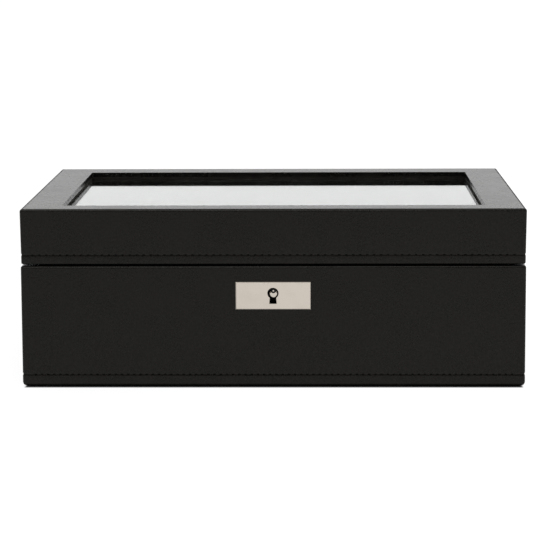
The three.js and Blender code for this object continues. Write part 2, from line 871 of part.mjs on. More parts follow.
const lid = new THREE.Group();
lid.add(
  piece("lid_front_panel", lidFrontWall(), boardFinish),
  piece("lid_back_panel", lidBackWall(), boardFinish),
  piece("lid_left_panel", lidSideWall(-1), boardFinish),
  piece("lid_right_panel", lidSideWall(1), boardFinish),
  piece("lid_top_panel", lidTopPanel(), boardFinish),
  piece("lid_side_leather", lidSideLeather(), leatherFinish),
  piece("lid_top_leather", lidTopLeather(), leatherFinish),
  piece("lid_glass", lidGlass(), glassFinish),
  piece("glass_retainer", glassRetainer(), suedeFinish),
  piece("lid_lining_band", lidLiningBand(), suedeFinish),
  piece("strike_plate", strikePlate(), steelFinish),
);

for (const [side, [x, y]] of Object.entries(lockScrewPlaces)) {
  base.add(piece(`lock_screw_${side}`, screw(x, y, baseHeight, DOWN), steelFinish));
  lid.add(piece(`strike_screw_${side}`, screw(x, y, lidBottom, UP), steelFinish));
}

for (const [side, x] of Object.entries(hingePlaces)) {
  base.add(piece(`hinge_base_leaf_${side}`, hingeLeaf("base", x), nickelFinish));
  base.add(piece(`hinge_pin_${side}`, hingePin(x), steelFinish));
  lid.add(piece(`hinge_lid_leaf_${side}`, hingeLeaf("lid", x), nickelFinish));
  for (const { end, place } of hingeScrewPlaces(side)) {
    base.add(piece(`hinge_base_screw_${side}_${end}`, screw(...place, baseHeight, DOWN), steelFinish));
    lid.add(piece(`hinge_lid_screw_${side}_${end}`, screw(...place, lidBottom, UP), steelFinish));
  }
}

const bolt = new THREE.Group();
bolt.add(piece("lock_bolt", lockBolt(), steelFinish));

const cushions = new THREE.Group();
for (let row = 0; row < rows; row++) {
  for (let column = 0; column < columns; column++) {
    const name = `cushion_${row * columns + column + 1}`;
    cushions.add(piece(name, cushion(column, row), cushionFinish));
  }
}

// The origin is the middle of the whole box's footprint, barrels and plate included.
const watchBox = new THREE.Group();
watchBox.add(base, lid, bolt, cushions);
watchBox.position.y = -(pinY + knuckleRadius + faceplateFace) / 2;

export default watchBox;
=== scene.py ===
"""A leather-covered watch box with a glass window in its lid.

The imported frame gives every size, place and moving body. Each sub-assembly below is a class that models its
pieces on the bench, dresses them in their finishes and hands them over to the body that carries them.
"""

import json
import logging
import math
from contextlib import contextmanager
from dataclasses import dataclass
from enum import Enum
from typing import Any, Callable, Iterator

import bmesh
import bpy
from mathutils import Matrix, Vector

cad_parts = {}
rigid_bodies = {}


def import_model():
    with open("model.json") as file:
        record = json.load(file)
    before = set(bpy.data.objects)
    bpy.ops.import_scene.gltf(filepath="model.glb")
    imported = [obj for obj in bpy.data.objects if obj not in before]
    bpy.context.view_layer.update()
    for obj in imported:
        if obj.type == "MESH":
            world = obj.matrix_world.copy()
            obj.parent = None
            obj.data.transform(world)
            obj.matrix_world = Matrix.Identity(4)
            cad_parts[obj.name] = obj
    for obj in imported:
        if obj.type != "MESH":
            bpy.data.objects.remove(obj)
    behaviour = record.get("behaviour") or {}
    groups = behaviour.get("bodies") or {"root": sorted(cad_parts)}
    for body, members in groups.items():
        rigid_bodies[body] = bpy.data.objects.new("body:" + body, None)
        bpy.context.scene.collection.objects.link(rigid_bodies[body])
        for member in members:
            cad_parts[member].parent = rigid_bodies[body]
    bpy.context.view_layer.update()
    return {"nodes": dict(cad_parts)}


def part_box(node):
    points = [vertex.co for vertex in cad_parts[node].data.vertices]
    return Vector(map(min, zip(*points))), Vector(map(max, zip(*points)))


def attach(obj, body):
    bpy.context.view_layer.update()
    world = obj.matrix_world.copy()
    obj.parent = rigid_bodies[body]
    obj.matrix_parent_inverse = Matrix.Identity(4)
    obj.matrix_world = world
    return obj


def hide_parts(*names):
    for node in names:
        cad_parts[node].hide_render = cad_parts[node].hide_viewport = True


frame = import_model()

MM = 0.001
GLUE = 0.1 * MM  # left between a board and what covers it
HARDWARE_ROOM = 0.12 * MM  # left in leather round let-in metal
OVERCUT = 5 * MM  # how far a cutter reaches past what it opens
WHITE = (1.0, 1.0, 1.0, 1.0)
SIDES = ("front", "back", "left", "right")
LOG = logging.getLogger("watch_box")

Tree, Node, Socket = bpy.types.NodeTree, bpy.types.Node, bpy.types.NodeSocket
Corners = tuple[Vector, Vector]
Triple = tuple[float, float, float]
Test = Callable[[Vector, Vector], bool]


class Body(Enum):
    """The bodies that pieces ride on; each cushion has a body of its own name."""

    BASE = "base"
    LID = "lid"
    BOLT = "lock_bolt"


class Slot(Enum):
    """The record's material slots."""

    LEATHER = "leather"
    BOARD = "fibreboard"
    SUEDE = "suede"
    CUSHION = "cushion_velvet"
    FELT = "felt"
    GLASS = "glass"
    NICKEL = "polished_nickel"
    ZINC = "zinc_steel"


class Part(Enum):
    """What an edit-mode tool picks."""

    VERT = "VERT"
    EDGE = "EDGE"
    FACE = "FACE"


# ---------------------------------------------------------------------------------------------- finishes


def linear(code: str) -> tuple[float, float, float, float]:
    """Turn an sRGB hex colour into linear light.

    Args:
        code: the colour as "#rrggbb".

    Returns:
        Red, green, blue and an alpha of 1.
    """
    parts = [int(code[i : i + 2], 16) / 255 for i in (1, 3, 5)]
    r, g, b = (c / 12.92 if c <= 0.04045 else ((c + 0.055) / 1.055) ** 2.4 for c in parts)
    return r, g, b, 1.0


def per_metre(millimetres: float) -> float:
    """Texture scale whose cells or waves are this many millimetres wide."""
    return 1 / (millimetres * MM)


def add(tree: Tree, kind: str, values: dict | None = None, links: dict | None = None, **settings: Any) -> Node:
    """Add a node with its settings and links.

    Args:
        tree: the node tree.
        kind: the shader node's type, without its "ShaderNode".
        values: input socket to the value it holds.
        links: input socket to the output that feeds it; a node stands for its first output.
        settings: the node's own properties.

    Returns:
        The new node.
    """
    node = tree.nodes.new("ShaderNode" + kind)
    for name, value in settings.items():
        setattr(node, name, value)
    for socket, value in (values or {}).items():
        node.inputs[socket].default_value = value
    for socket, source in (links or {}).items():
        output = source.outputs[0] if isinstance(source, Node) else source
        tree.links.new(output, node.inputs[socket])
    return node


@dataclass(frozen=True)
class Finish:
    """A surface, made once as a material and worn by any number of pieces."""

    name: str

    def material(self) -> bpy.types.Material:
        """Return this finish's material, painting it the first time.

        Returns:
            The material.
        """
        made = bpy.data.materials.get(self.name)
        if made is None:
            made = bpy.data.materials.new(self.name)
            made.use_nodes = True
            tree = made.node_tree
            tree.nodes.clear()
            place = add(tree, "TexCoord").outputs["Object"]
            add(tree, "OutputMaterial", links={"Surface": self.paint(tree, place)})
        return made

    def paint(self, tree: Tree, place: Socket) -> Node:
        """Lay the nodes; each finish has its own way."""
        raise NotImplementedError


@dataclass(frozen=True)
class CalfLeather(Finish):
    """Full-grain calf, drum-dyed black and plated smooth under a heated press.

    The plating flattens the hair cells to a fine even grain, so the eye sees a deep black with a soft sheen
    that turns pale only where light skims it. Handling leaves faintly dull and faintly polished patches.
    """

    name: str = "plated_calf_leather"
    dye: str = "#060505"
    faded: str = "#181614"
    sheen: str = "#fffff8"
    grain_mm: float = 1.2
    crease_mm: float = 0.8
    wander_mm: float = 0.6
    patch_mm: float = 22.0
    relief_mm: float = 0.05

    def paint(self, tree: Tree, place: Socket) -> Node:
        """Lay dyed colour, handled patches and the pressed hair-cell grain.

        Args:
            tree: the material's node tree.
            place: the point's place on the piece.

        Returns:
            The shader.
        """
        patches = add(tree, "TexNoise", {"Scale": per_metre(self.patch_mm), "Detail": 3.0}, {"Vector": place})
        # Hair cells: real ones are about 0.3 mm across; they are drawn at 1.2 mm so that they show at all. They
        # are longer than wide, as the hide was stretched upright over the box.
        drawn = add(tree, "Mapping", {"Scale": (1.0, 1.0, 0.6)}, {"Vector": place})
        wander = add(tree, "TexNoise", {"Scale": per_metre(3 * self.grain_mm), "Detail": 2.0},
                     {"Vector": place})
        bent = add(tree, "VectorMath", {1: (self.wander_mm * MM,) * 3}, {0: wander.outputs["Color"]},
                   operation="MULTIPLY")
        spot = add(tree, "VectorMath", links={0: drawn, 1: bent}, operation="ADD")
        cells = add(tree, "TexVoronoi", {"Scale": per_metre(self.grain_mm)}, {"Vector": spot},
                    feature="DISTANCE_TO_EDGE")
        pebbles = add(tree, "MapRange", {"From Max": 0.28}, {"Value": cells}, interpolation_type="SMOOTHSTEP")
        creases = add(tree, "TexNoise", {"Scale": per_metre(self.crease_mm), "Detail": 3.0}, {"Vector": drawn})
        height = add(tree, "Math", {1: 0.45}, {0: creases, 2: pebbles}, operation="MULTIPLY_ADD")
        relief = add(tree, "Bump", {"Strength": 0.6, "Distance": self.relief_mm * MM}, {"Height": height})
        speckled = add(tree, "Math", {1: 3.2}, {0: creases, 2: patches}, operation="MULTIPLY_ADD")
        tone = add(tree, "MapRange", {"From Min": 1.4, "From Max": 2.8}, {"Value": speckled})
        colour = add(tree, "MixRGB", {"Color1": linear(self.dye), "Color2": linear(self.faded)}, {"Fac": tone})
        polish = add(tree, "MapRange", {"From Min": 0.3, "From Max": 0.75, "To Min": 0.26, "To Max": 0.29},
                     {"Value": patches})
        # Waxed leather mirrors less than bare plastic, so its specular level is well under the usual half.
        return add(tree, "BsdfPrincipled", {"Specular IOR Level": 0.16, "Specular Tint": linear(self.sheen)},
                   {"Base Color": colour, "Roughness": polish, "Normal": relief})


@dataclass(frozen=True)
class WaxedThread(Finish):
    """Bonded polyester sewing thread, black, twisted of three plies and waxed.

    It lies in its groove as short matt dashes, a touch darker than the leather.
    """

    name: str = "waxed_polyester_thread"
    dye: str = "#050505"
    ply: str = "#0c0b0b"
    ply_mm: float = 0.5
    relief_mm: float = 0.08

    def paint(self, tree: Tree, place: Socket) -> Node:
        """Lay the plies as slanting waves.

        Args:
            tree: the material's node tree.
            place: the point's place on the piece.

        Returns:
            The shader.
        """
        plies = add(tree, "TexWave", {"Scale": per_metre(self.ply_mm) / 20, "Distortion": 0.6},
                    {"Vector": place}, bands_direction="DIAGONAL")
        colour = add(tree, "MixRGB", {"Color1": linear(self.dye), "Color2": linear(self.ply)},
                     {"Fac": plies.outputs["Fac"]})
        relief = add(tree, "Bump", {"Strength": 0.5, "Distance": self.relief_mm * MM},
                     {"Height": plies.outputs["Fac"]})
        return add(tree, "BsdfPrincipled", {"Roughness": 0.8, "Specular IOR Level": 0.05},
                   {"Base Color": colour, "Normal": relief})


@dataclass(frozen=True)
class Metal(Finish):
    """A metal surface, polished or plated, with the fine marks its making left."""

    face: str
    tarnish: str
    roughness: float
    marks_mm: float
    relief_mm: float

    def paint(self, tree: Tree, place: Socket) -> Node:
        """Lay the bare metal, its slight tarnish and its wipe marks.

        Args:
            tree: the material's node tree.
            place: the point's place on the piece.

        Returns:
            The shader.
        """
        cloud = add(tree, "TexNoise", {"Scale": per_metre(self.marks_mm), "Detail": 5.0}, {"Vector": place})
        stretch = add(tree, "Mapping", {"Scale": (1.0, 1.0, 14.0)}, {"Vector": place})
        wipes = add(tree, "TexNoise", {"Scale": per_metre(self.marks_mm / 2), "Detail": 3.0},
                    {"Vector": stretch})
        share = add(tree, "MapRange", {"From Min": 0.45, "From Max": 0.8}, {"Value": cloud})
        colour = add(tree, "MixRGB", {"Color1": linear(self.face), "Color2": linear(self.tarnish)},
                     {"Fac": share})
        span = {"From Min": 0.3, "From Max": 0.8, "To Min": self.roughness * 0.8,
                "To Max": self.roughness * 1.35}
        rough = add(tree, "MapRange", span, {"Value": wipes})
        relief = add(tree, "Bump", {"Strength": 0.25, "Distance": self.relief_mm * MM}, {"Height": cloud})
        return add(tree, "BsdfPrincipled", {"Metallic": 1.0},
                   {"Base Color": colour, "Roughness": rough, "Normal": relief})


@dataclass(frozen=True)
class FloatGlass(Finish):
    """Clear float glass, 3 mm, with seamed edges.

    Iron in it gives a faint green, seen only along the edges; skimming light turns the face into a mirror.
    """

    name: str = "clear_float_glass"
    body: str = "#f4fbf7"
    smear: str = "#eef7f2"
    shadow: str = "#f1f4f2"
    smear_mm: float = 40.0

    def paint(self, tree: Tree, place: Socket) -> Node:
        """Lay clear glass that lets lamps through.

        Args:
            tree: the material's node tree.
            place: the point's place on the piece.

        Returns:
            The shader.
        """
        cloud = add(tree, "TexNoise", {"Scale": per_metre(self.smear_mm), "Detail": 2.0}, {"Vector": place})
        colour = add(tree, "MixRGB", {"Color1": linear(self.body), "Color2": linear(self.smear)},
                     {"Fac": cloud})
        glass = add(tree, "BsdfPrincipled", {"Roughness": 0.0, "IOR": 1.52, "Transmission Weight": 1.0},
                    {"Base Color": colour})
        clear = add(tree, "BsdfTransparent", {"Color": linear(self.shadow)})
        ray = add(tree, "LightPath")
        return add(tree, "MixShader", links={0: ray.outputs["Is Shadow Ray"], 1: glass, 2: clear})


@dataclass(frozen=True)
class NappedCloth(Finish):
    """Microsuede, felt or velvet: a dense dyed nap over a woven or needled ground.

    Hands and brushes leave the nap lying in paler and darker patches, and its fibre ends catch skimming light.
    """

    deep: str
    brushed: str
    fibre_mm: float
    patch_mm: float
    sheen: float
    relief_mm: float = 0.25

    def paint(self, tree: Tree, place: Socket) -> Node:
        """Lay the nap's patches and its fibres.

        Args:
            tree: the material's node tree.
            place: the point's place on the piece.

        Returns:
            The shader.
        """
        patches = add(tree, "TexNoise", {"Scale": per_metre(self.patch_mm), "Detail": 3.0, "Distortion": 0.8},
                      {"Vector": place})
        fibres = add(tree, "TexNoise", {"Scale": per_metre(self.fibre_mm), "Detail": 4.0}, {"Vector": place})
        both = add(tree, "Math", {1: 0.6}, {0: fibres, 2: patches}, operation="MULTIPLY_ADD")
        share = add(tree, "MapRange", {"From Min": 0.6, "From Max": 1.05}, {"Value": both})
        colour = add(tree, "MixRGB", {"Color1": linear(self.deep), "Color2": linear(self.brushed)},
                     {"Fac": share})
        relief = add(tree, "Bump", {"Strength": 0.6, "Distance": self.relief_mm * MM}, {"Height": fibres})
        nap = {"Roughness": 0.95, "Specular IOR Level": 0.15, "Sheen Weight": self.sheen,
               "Sheen Roughness": 0.45, "Sheen Tint": linear(self.brushed)}
        return add(tree, "BsdfPrincipled", nap, {"Base Color": colour, "Normal": relief})


@dataclass(frozen=True)
class Fibreboard(Finish):
    """Medium-density fibreboard, dyed through in black and sanded, so that no pale edge shows at a seam."""

    name: str = "black_dyed_fibreboard"
    ground: str = "#262220"
    fleck: str = "#3b342f"
    fleck_mm: float = 1.4
    relief_mm: float = 0.1

    def paint(self, tree: Tree, place: Socket) -> Node:
        """Lay the pressed fibres.

        Args:
            tree: the material's node tree.
            place: the point's place on the piece.

        Returns:
            The shader.
        """
        fibres = add(tree, "TexNoise", {"Scale": per_metre(self.fleck_mm), "Detail": 6.0, "Roughness": 0.7},
                     {"Vector": place})
        share = add(tree, "MapRange", {"From Min": 0.4, "From Max": 0.72}, {"Value": fibres})
        colour = add(tree, "MixRGB", {"Color1": linear(self.ground), "Color2": linear(self.fleck)},
                     {"Fac": share})
        relief = add(tree, "Bump", {"Strength": 0.3, "Distance": self.relief_mm * MM}, {"Height": fibres})
        return add(tree, "BsdfPrincipled", {"Roughness": 0.85, "Specular IOR Level": 0.3},
                   {"Base Color": colour, "Normal": relief})


LEATHER = CalfLeather()
THREAD = WaxedThread()
GLASS = FloatGlass()
BOARD = Fibreboard()
# Bright nickel over brass, buffed: warm silver that mirrors what faces it.
NICKEL = Metal("buffed_nickel_plate", "#c2bab0", "#bdb5aa", 0.06, 9.0, 0.006)
# Zinc plate on pressed steel under a black passivation: a satin near-black that hides the lock in the gap,
# darkened as painted shade so that the lock reads as the gap's shade.
ZINC = Metal("black_zinc_painted_gap_shade", "#1d1d1f", "#141415", 0.48, 2.5, 0.05)
SUEDE = NappedCloth("charcoal_microsuede", "#221f1e", "#3b3736", 0.7, 22.0, 0.35)
VELVET = NappedCloth("grey_suede_cushion", "#413d3b", "#58534f", 0.8, 14.0, 0.5)
PIPING = NappedCloth("grey_suede_piping", "#2c2928", "#454140", 0.8, 14.0, 0.4)
FELT = NappedCloth("black_needled_felt", "#121212", "#262626", 1.3, 9.0, 0.25)
# Closed-cell foam strip, skinned matt black: the dead black line under the leather's turned edge, a real pane
# bed whose darkness is painted shade for that line.
FOAM_SHADE = NappedCloth("black_foam_painted_shade", "#1f1c19", "#2d2a26", 0.5, 6.0, 0.0)
# Uncoated black bookbinder's paper: dead matt, so that no light runs along the gap under the lid; its black is
# painted shade, standing in for the shade in that gap.
SHADE_PAPER = NappedCloth("black_paper_painted_shade", "#0d0d0d", "#161616", 0.4, 12.0, 0.0)


# ---------------------------------------------------------------------------------------------- the bench


class Workpiece:
    """One piece on the bench: a mesh object, and the tools that shape it and hand it over."""

    def __init__(self, obj: bpy.types.Object) -> None:
        """Take an object up as a workpiece."""
        self.obj = obj

    @staticmethod
    def clear() -> None:
        """Deselect everything on the bench."""
        for obj in bpy.context.view_layer.objects:
            obj.select_set(False)

    def take(self) -> None:
        """Select this piece alone and make it the active one."""
        self.clear()
        self.obj.select_set(True)
        bpy.context.view_layer.objects.active = self.obj

    @classmethod
    def taken(cls, name: str) -> "Workpiece":
        """Name the primitive just added and place its place and size in its mesh.

        Args:
            name: the piece's name.

        Returns:
            The workpiece.
        """
        piece = cls(bpy.context.active_object)
        piece.obj.name = piece.obj.data.name = name
        bpy.ops.object.transform_apply(location=True, rotation=True, scale=True)
        return piece

    @classmethod
    def block(cls, name: str, low: Vector, high: Vector) -> "Workpiece":
        """Add a block between two corners.

        Args:
            name: the piece's name.
            low: its lowest corner, in metres.
            high: its highest corner.

        Returns:
            The workpiece.
        """
        cls.clear()
        low, high = Vector(low), Vector(high)
        bpy.ops.mesh.primitive_cube_add(size=1, location=(low + high) / 2, scale=high - low)
        return cls.taken(name)

    @classmethod
    def rod(cls, name: str, start: Vector, end: Vector, radius: float, sides: int = 32) -> "Workpiece":
        """Add a round rod between two points.

        Args:
            name: the piece's name.
            start: the middle of one end, in metres.
            end: the middle of the other end.
            radius: its radius.
            sides: how many sides it has.

        Returns:
            The workpiece.
        """
        cls.clear()
        start, end = Vector(start), Vector(end)
        turn = (end - start).to_track_quat("Z", "Y").to_euler()
        bpy.ops.mesh.primitive_cylinder_add(vertices=sides, radius=radius, depth=(end - start).length,
                                            location=(start + end) / 2, rotation=turn)
        return cls.taken(name)

    @classmethod
    def copy_of(cls, name: str, node: str) -> "Workpiece":
        """Copy a CAD node's mesh, with its loose triangles merged and flat faces made whole.

        Args:
            name: the piece's name.
            node: the CAD node.

        Returns:
            The workpiece.
        """
        source = frame["nodes"][node]
        mesh = source.data.copy()
        mesh.materials.clear()
        obj = bpy.data.objects.new(name, mesh)
        mesh.name = name
        bpy.context.scene.collection.objects.link(obj)
        piece = cls(obj)
        with piece.editing():
            bpy.ops.mesh.select_all(action="SELECT")
            bpy.ops.mesh.remove_doubles(threshold=MM / 500)
            bpy.ops.mesh.dissolve_limited(angle_limit=math.radians(0.6))
        return piece

    @contextmanager
    def editing(self) -> Iterator[None]:
        """Hold the piece in edit mode."""
        self.take()
        bpy.ops.object.mode_set(mode="EDIT")
        try:
            yield
        finally:
            bpy.ops.object.mode_set(mode="OBJECT")

    def pick(self, part: Part, test: Test) -> int:
        """Select, in edit mode, each vertex, edge or face that passes a test.

        Args:
            part: what to pick.
            test: takes a place, and a vertex's or face's normal or an edge's direction.

        Returns:
            How many were picked.
        """
        bpy.ops.mesh.select_mode(type=part.value)
        bpy.ops.mesh.select_all(action="DESELECT")
        shape = bmesh.from_edit_mesh(self.obj.data)
        if part is Part.VERT:
            found = [v for v in shape.verts if test(v.co, v.normal)]
        elif part is Part.EDGE:
            found = [e for e in shape.edges
                     if test((e.verts[0].co + e.verts[1].co) / 2, (e.verts[1].co - e.verts[0].co).normalized())]
        else:
            found = [f for f in shape.faces if test(f.calc_center_median(), f.normal)]
        for element in found:
            element.select_set(True)
        bmesh.update_edit_mesh(self.obj.data)
        return len(found)

    def bevel(self, width: float, segments: int, test: Test) -> "Workpiece":
        """Round the edges that pass a test.

        Args:
            width: how far the rounding reaches, in metres.
            segments: how many faces it has.
            test: takes an edge's middle and direction.

        Returns:
            This workpiece.
        """
        with self.editing():
            if self.pick(Part.EDGE, test):
                bpy.ops.mesh.bevel(offset=width, segments=segments, affect="EDGES", clamp_overlap=True)
        return self

    def resize(self, test: Test, factor: Triple, centre: Vector) -> "Workpiece":
        """Scale the vertices that pass a test.

        Args:
            test: takes a vertex's place and normal.
            factor: the scale along X, Y and Z.
            centre: the point that stays.

        Returns:
            This workpiece.
        """
        with self.editing():
            if self.pick(Part.VERT, test):
                bpy.ops.transform.resize(value=factor, center_override=tuple(centre))
        return self

    def shift(self, test: Test, offset: Triple) -> "Workpiece":
        """Move the vertices that pass a test.

        Args:
            test: takes a vertex's place and normal.
            offset: how far they move, in metres.

        Returns:
            This workpiece.
        """
        with self.editing():
            if self.pick(Part.VERT, test):
                bpy.ops.transform.translate(value=offset)
        return self

    def score(self, level: float) -> "Workpiece":
        """Cut a line of edges round the piece.

        Args:
            level: the line's height, in metres.

        Returns:
            This workpiece.
        """
        with self.editing():
            bpy.ops.mesh.select_all(action="SELECT")
            bpy.ops.mesh.bisect(plane_co=(0, 0, level), plane_no=(0, 0, 1), use_fill=False)
        return self

    def modify(self, kind: str, **settings: Any) -> "Workpiece":
        """Put a modifier on and apply it.

        Args:
            kind: the modifier's type.
            settings: its properties.

        Returns:
            This workpiece.
        """
        self.take()
        modifier = self.obj.modifiers.new(kind.lower(), kind)
        for name, value in settings.items():
            setattr(modifier, name, value)
        bpy.ops.object.modifier_apply(modifier=modifier.name)
        return self

    def carve(self, *cutters: "Workpiece") -> "Workpiece":
        """Cut away the room that other workpieces take, and use those up.

        Args:
            cutters: the workpieces that say where to cut.

        Returns:
            This workpiece.
        """
        for cutter in cutters:
            self.modify("BOOLEAN", operation="DIFFERENCE", object=cutter.obj, solver="EXACT")
            cutter.scrap()
        return self

    def scrap(self) -> None:
        """Throw the piece away."""
        mesh = self.obj.data
        bpy.data.objects.remove(self.obj)
        bpy.data.meshes.remove(mesh)

    def soften(self, width: float, segments: int = 2, angle: float = 35) -> "Workpiece":
        """Round every edge sharper than an angle in degrees."""
        return self.modify("BEVEL", width=width, segments=segments, limit_method="ANGLE",
                           angle_limit=math.radians(angle), use_clamp_overlap=True)

    def join(self, others: list["Workpiece"]) -> "Workpiece":
        """Make other workpieces part of this one.

        Args:
            others: the workpieces to add.

        Returns:
            This workpiece.
        """
        self.take()
        for other in others:
            other.obj.select_set(True)
        bpy.ops.object.join()
        return self

    def copy(self, name: str, offset: Vector) -> "Workpiece":
        """Copy the piece, with a mesh of its own, to another place.

        Args:
            name: the copy's name.
            offset: how far it is moved, in metres.

        Returns:
            The copy.
        """
        obj = self.obj.copy()
        obj.data = self.obj.data.copy()
        obj.name = obj.data.name = name
        bpy.context.scene.collection.objects.link(obj)
        obj.data.transform(Matrix.Translation(offset))
        return Workpiece(obj)

    def hand_over(self, finish: Finish, body: Body | str, slot: Slot, *stands_for: str, smooth: float = 40,
                  weighted: bool = True) -> bpy.types.Object:
        """Dress the finished piece and give it to the body that carries it.

        Args:
            finish: its surface.
            body: the body it rides on.
            slot: the record's material slot; not used.
            stands_for: the CAD nodes it is shown instead of.
            smooth: the angle in degrees under which an edge is shaded round.
            weighted: whether large faces stay flat in the shading.

        Returns:
            The piece's object.
        """
        self.take()
        self.obj.data.materials.clear()
        self.obj.data.materials.append(finish.material())
        bpy.ops.object.shade_smooth_by_angle(angle=math.radians(smooth))
        if weighted:
            self.modify("WEIGHTED_NORMAL", keep_sharp=True)
        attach(self.obj, body.value if isinstance(body, Body) else body)
        if stands_for:
            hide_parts(*stands_for)
        LOG.info("%s: %d faces, %s", self.obj.name, len(self.obj.data.polygons), finish.name)
        return self.obj


def box_of(node: str, margin: float = 0.0) -> Corners:
    """Give a CAD node's box, grown all round.

    Args:
        node: the node's name.
        margin: how far it is grown, in metres.

    Returns:
        Its lowest and its highest corner.
    """
    low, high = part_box(node)
    grow = Vector((margin,) * 3)
    return low - grow, high + grow


def box_round(nodes: list[str]) -> Corners:
    """The box round several CAD nodes, grown by half the glue line all round."""
    lows, highs = zip(*(box_of(node, GLUE / 2) for node in nodes))
    return Vector(map(min, zip(*lows))), Vector(map(max, zip(*highs)))


def near(value: float, target: float, slack: float = 0.05 * MM) -> bool:
    """Whether two lengths in metres agree."""
    return abs(value - target) < slack


def on_rim(place: Vector, low: Vector, high: Vector) -> bool:
    """Whether a place lies on the outline, seen from above, of the box between two corners."""
    return any(near(place[i], side[i]) for i in (0, 1) for side in (low, high))


def upright(place: Vector, along: Vector) -> bool:
    """Whether an edge stands upright."""
    return abs(along.z) > 0.9


def dress(nodes: list[str], finish: Finish) -> None:
    """Give CAD nodes that stay a finish of their own.

    Args:
        nodes: the nodes' names.
        finish: their surface.
    """
    for name in nodes:
        node = frame["nodes"][name]
        node.data.materials.clear()
        node.data.materials.append(finish.material())
        LOG.info("%s: CAD node, %s", name, finish.name)


def clad(name: str, node: str, finish: Finish, body: Body, slot: Slot, width: float, segments: int = 3,
         angle: float = 35, smooth: float = 40) -> None:
    """Show a CAD node as a copy of its own form, with the edges rounded.

    Args:
        name: the piece's name.
        node: the CAD node.
        finish: its surface.
        body: the body it rides on.
        slot: the record's material slot.
        width: how far the rounding reaches, in metres.
        segments: how many faces the rounding has.
        angle: the angle in degrees past which an edge is rounded.
        smooth: the angle in degrees under which an edge is shaded round.
    """
    piece = Workpiece.copy_of(name, node).soften(width, segments, angle)
    piece.hand_over(finish, body, slot, node, smooth=smooth)


# ---------------------------------------------------------------------------------------------- leather work


@dataclass
class StitchRow:
    """A row of machine stitches round a box, each dipping into the leather at both ends.

    A stitch's ends lie past dip_from of its length, on either side of its middle.
    """

    name: str
    low: Vector
    high: Vector
    level: float
    pitch: float
    body: Body
    length: float = 2.6 * MM
    thick: float = 1.05 * MM
    corner: float = 4.5 * MM
    sunk: float = 0.33 * MM
    dip: float = 0.3 * MM
    dip_from: float = 0.33

    def one(self, name: str, centre: Vector, along_x: bool, outward: Vector) -> Workpiece:
        """Model one stitch.

        Args:
            name: its name.
            centre: its middle, in metres.
            along_x: whether it runs along X, or else along Y.
            outward: the way out of the leather.

        Returns:
            The stitch.
        """
        Workpiece.clear()
        turn = (0, math.pi / 2, 0) if along_x else (math.pi / 2, 0, 0)
        bpy.ops.mesh.primitive_uv_sphere_add(segments=8, ring_count=6, radius=0.5, location=centre,
                                             rotation=turn)
        stitch = Workpiece.taken(name)
        axis = 0 if along_x else 1
        size = [self.thick] * 3
        size[axis] = self.length
        stitch.resize(lambda p, n: True, tuple(size), centre)
        ends = self.length * self.dip_from
        return stitch.shift(lambda p, n: abs(p[axis] - centre[axis]) > ends, tuple(-outward * self.dip))

    def side(self, name: str, along_x: bool, sign: int) -> Workpiece:
        """Sew one side of the box.

        Args:
            name: the side's name.
            along_x: whether the side runs along X.
            sign: -1 for the front or left side, 1 for the back or right one.

        Returns:
            The side's stitches as one workpiece.
        """
        middle = (self.low + self.high) / 2
        axis, across = (0, 1) if along_x else (1, 0)
        count = int((self.high[axis] - self.low[axis] - 2 * self.corner) / self.pitch)
        centre, outward, step = Vector((0, 0, self.level)), Vector(), Vector()
        outward[across], step[axis] = sign, self.pitch
        centre[axis] = middle[axis] - (count - 1) * self.pitch / 2
        centre[across] = (self.high if sign > 0 else self.low)[across] - sign * self.sunk
        return self.one(name, centre, along_x, outward).modify("ARRAY", count=count, use_relative_offset=False,
                                                               use_constant_offset=True,
                                                               constant_offset_displace=step)

    def build(self) -> None:
        """Sew the four sides and hand the row over."""
        row, *others = [self.side(f"{self.name}_{i}", i < 2, (-1, 1)[i % 2]) for i in range(len(SIDES))]
        row.join(others)
        row.obj.name = row.obj.data.name = self.name
        row.hand_over(THREAD, self.body, Slot.LEATHER, smooth=80, weighted=False)


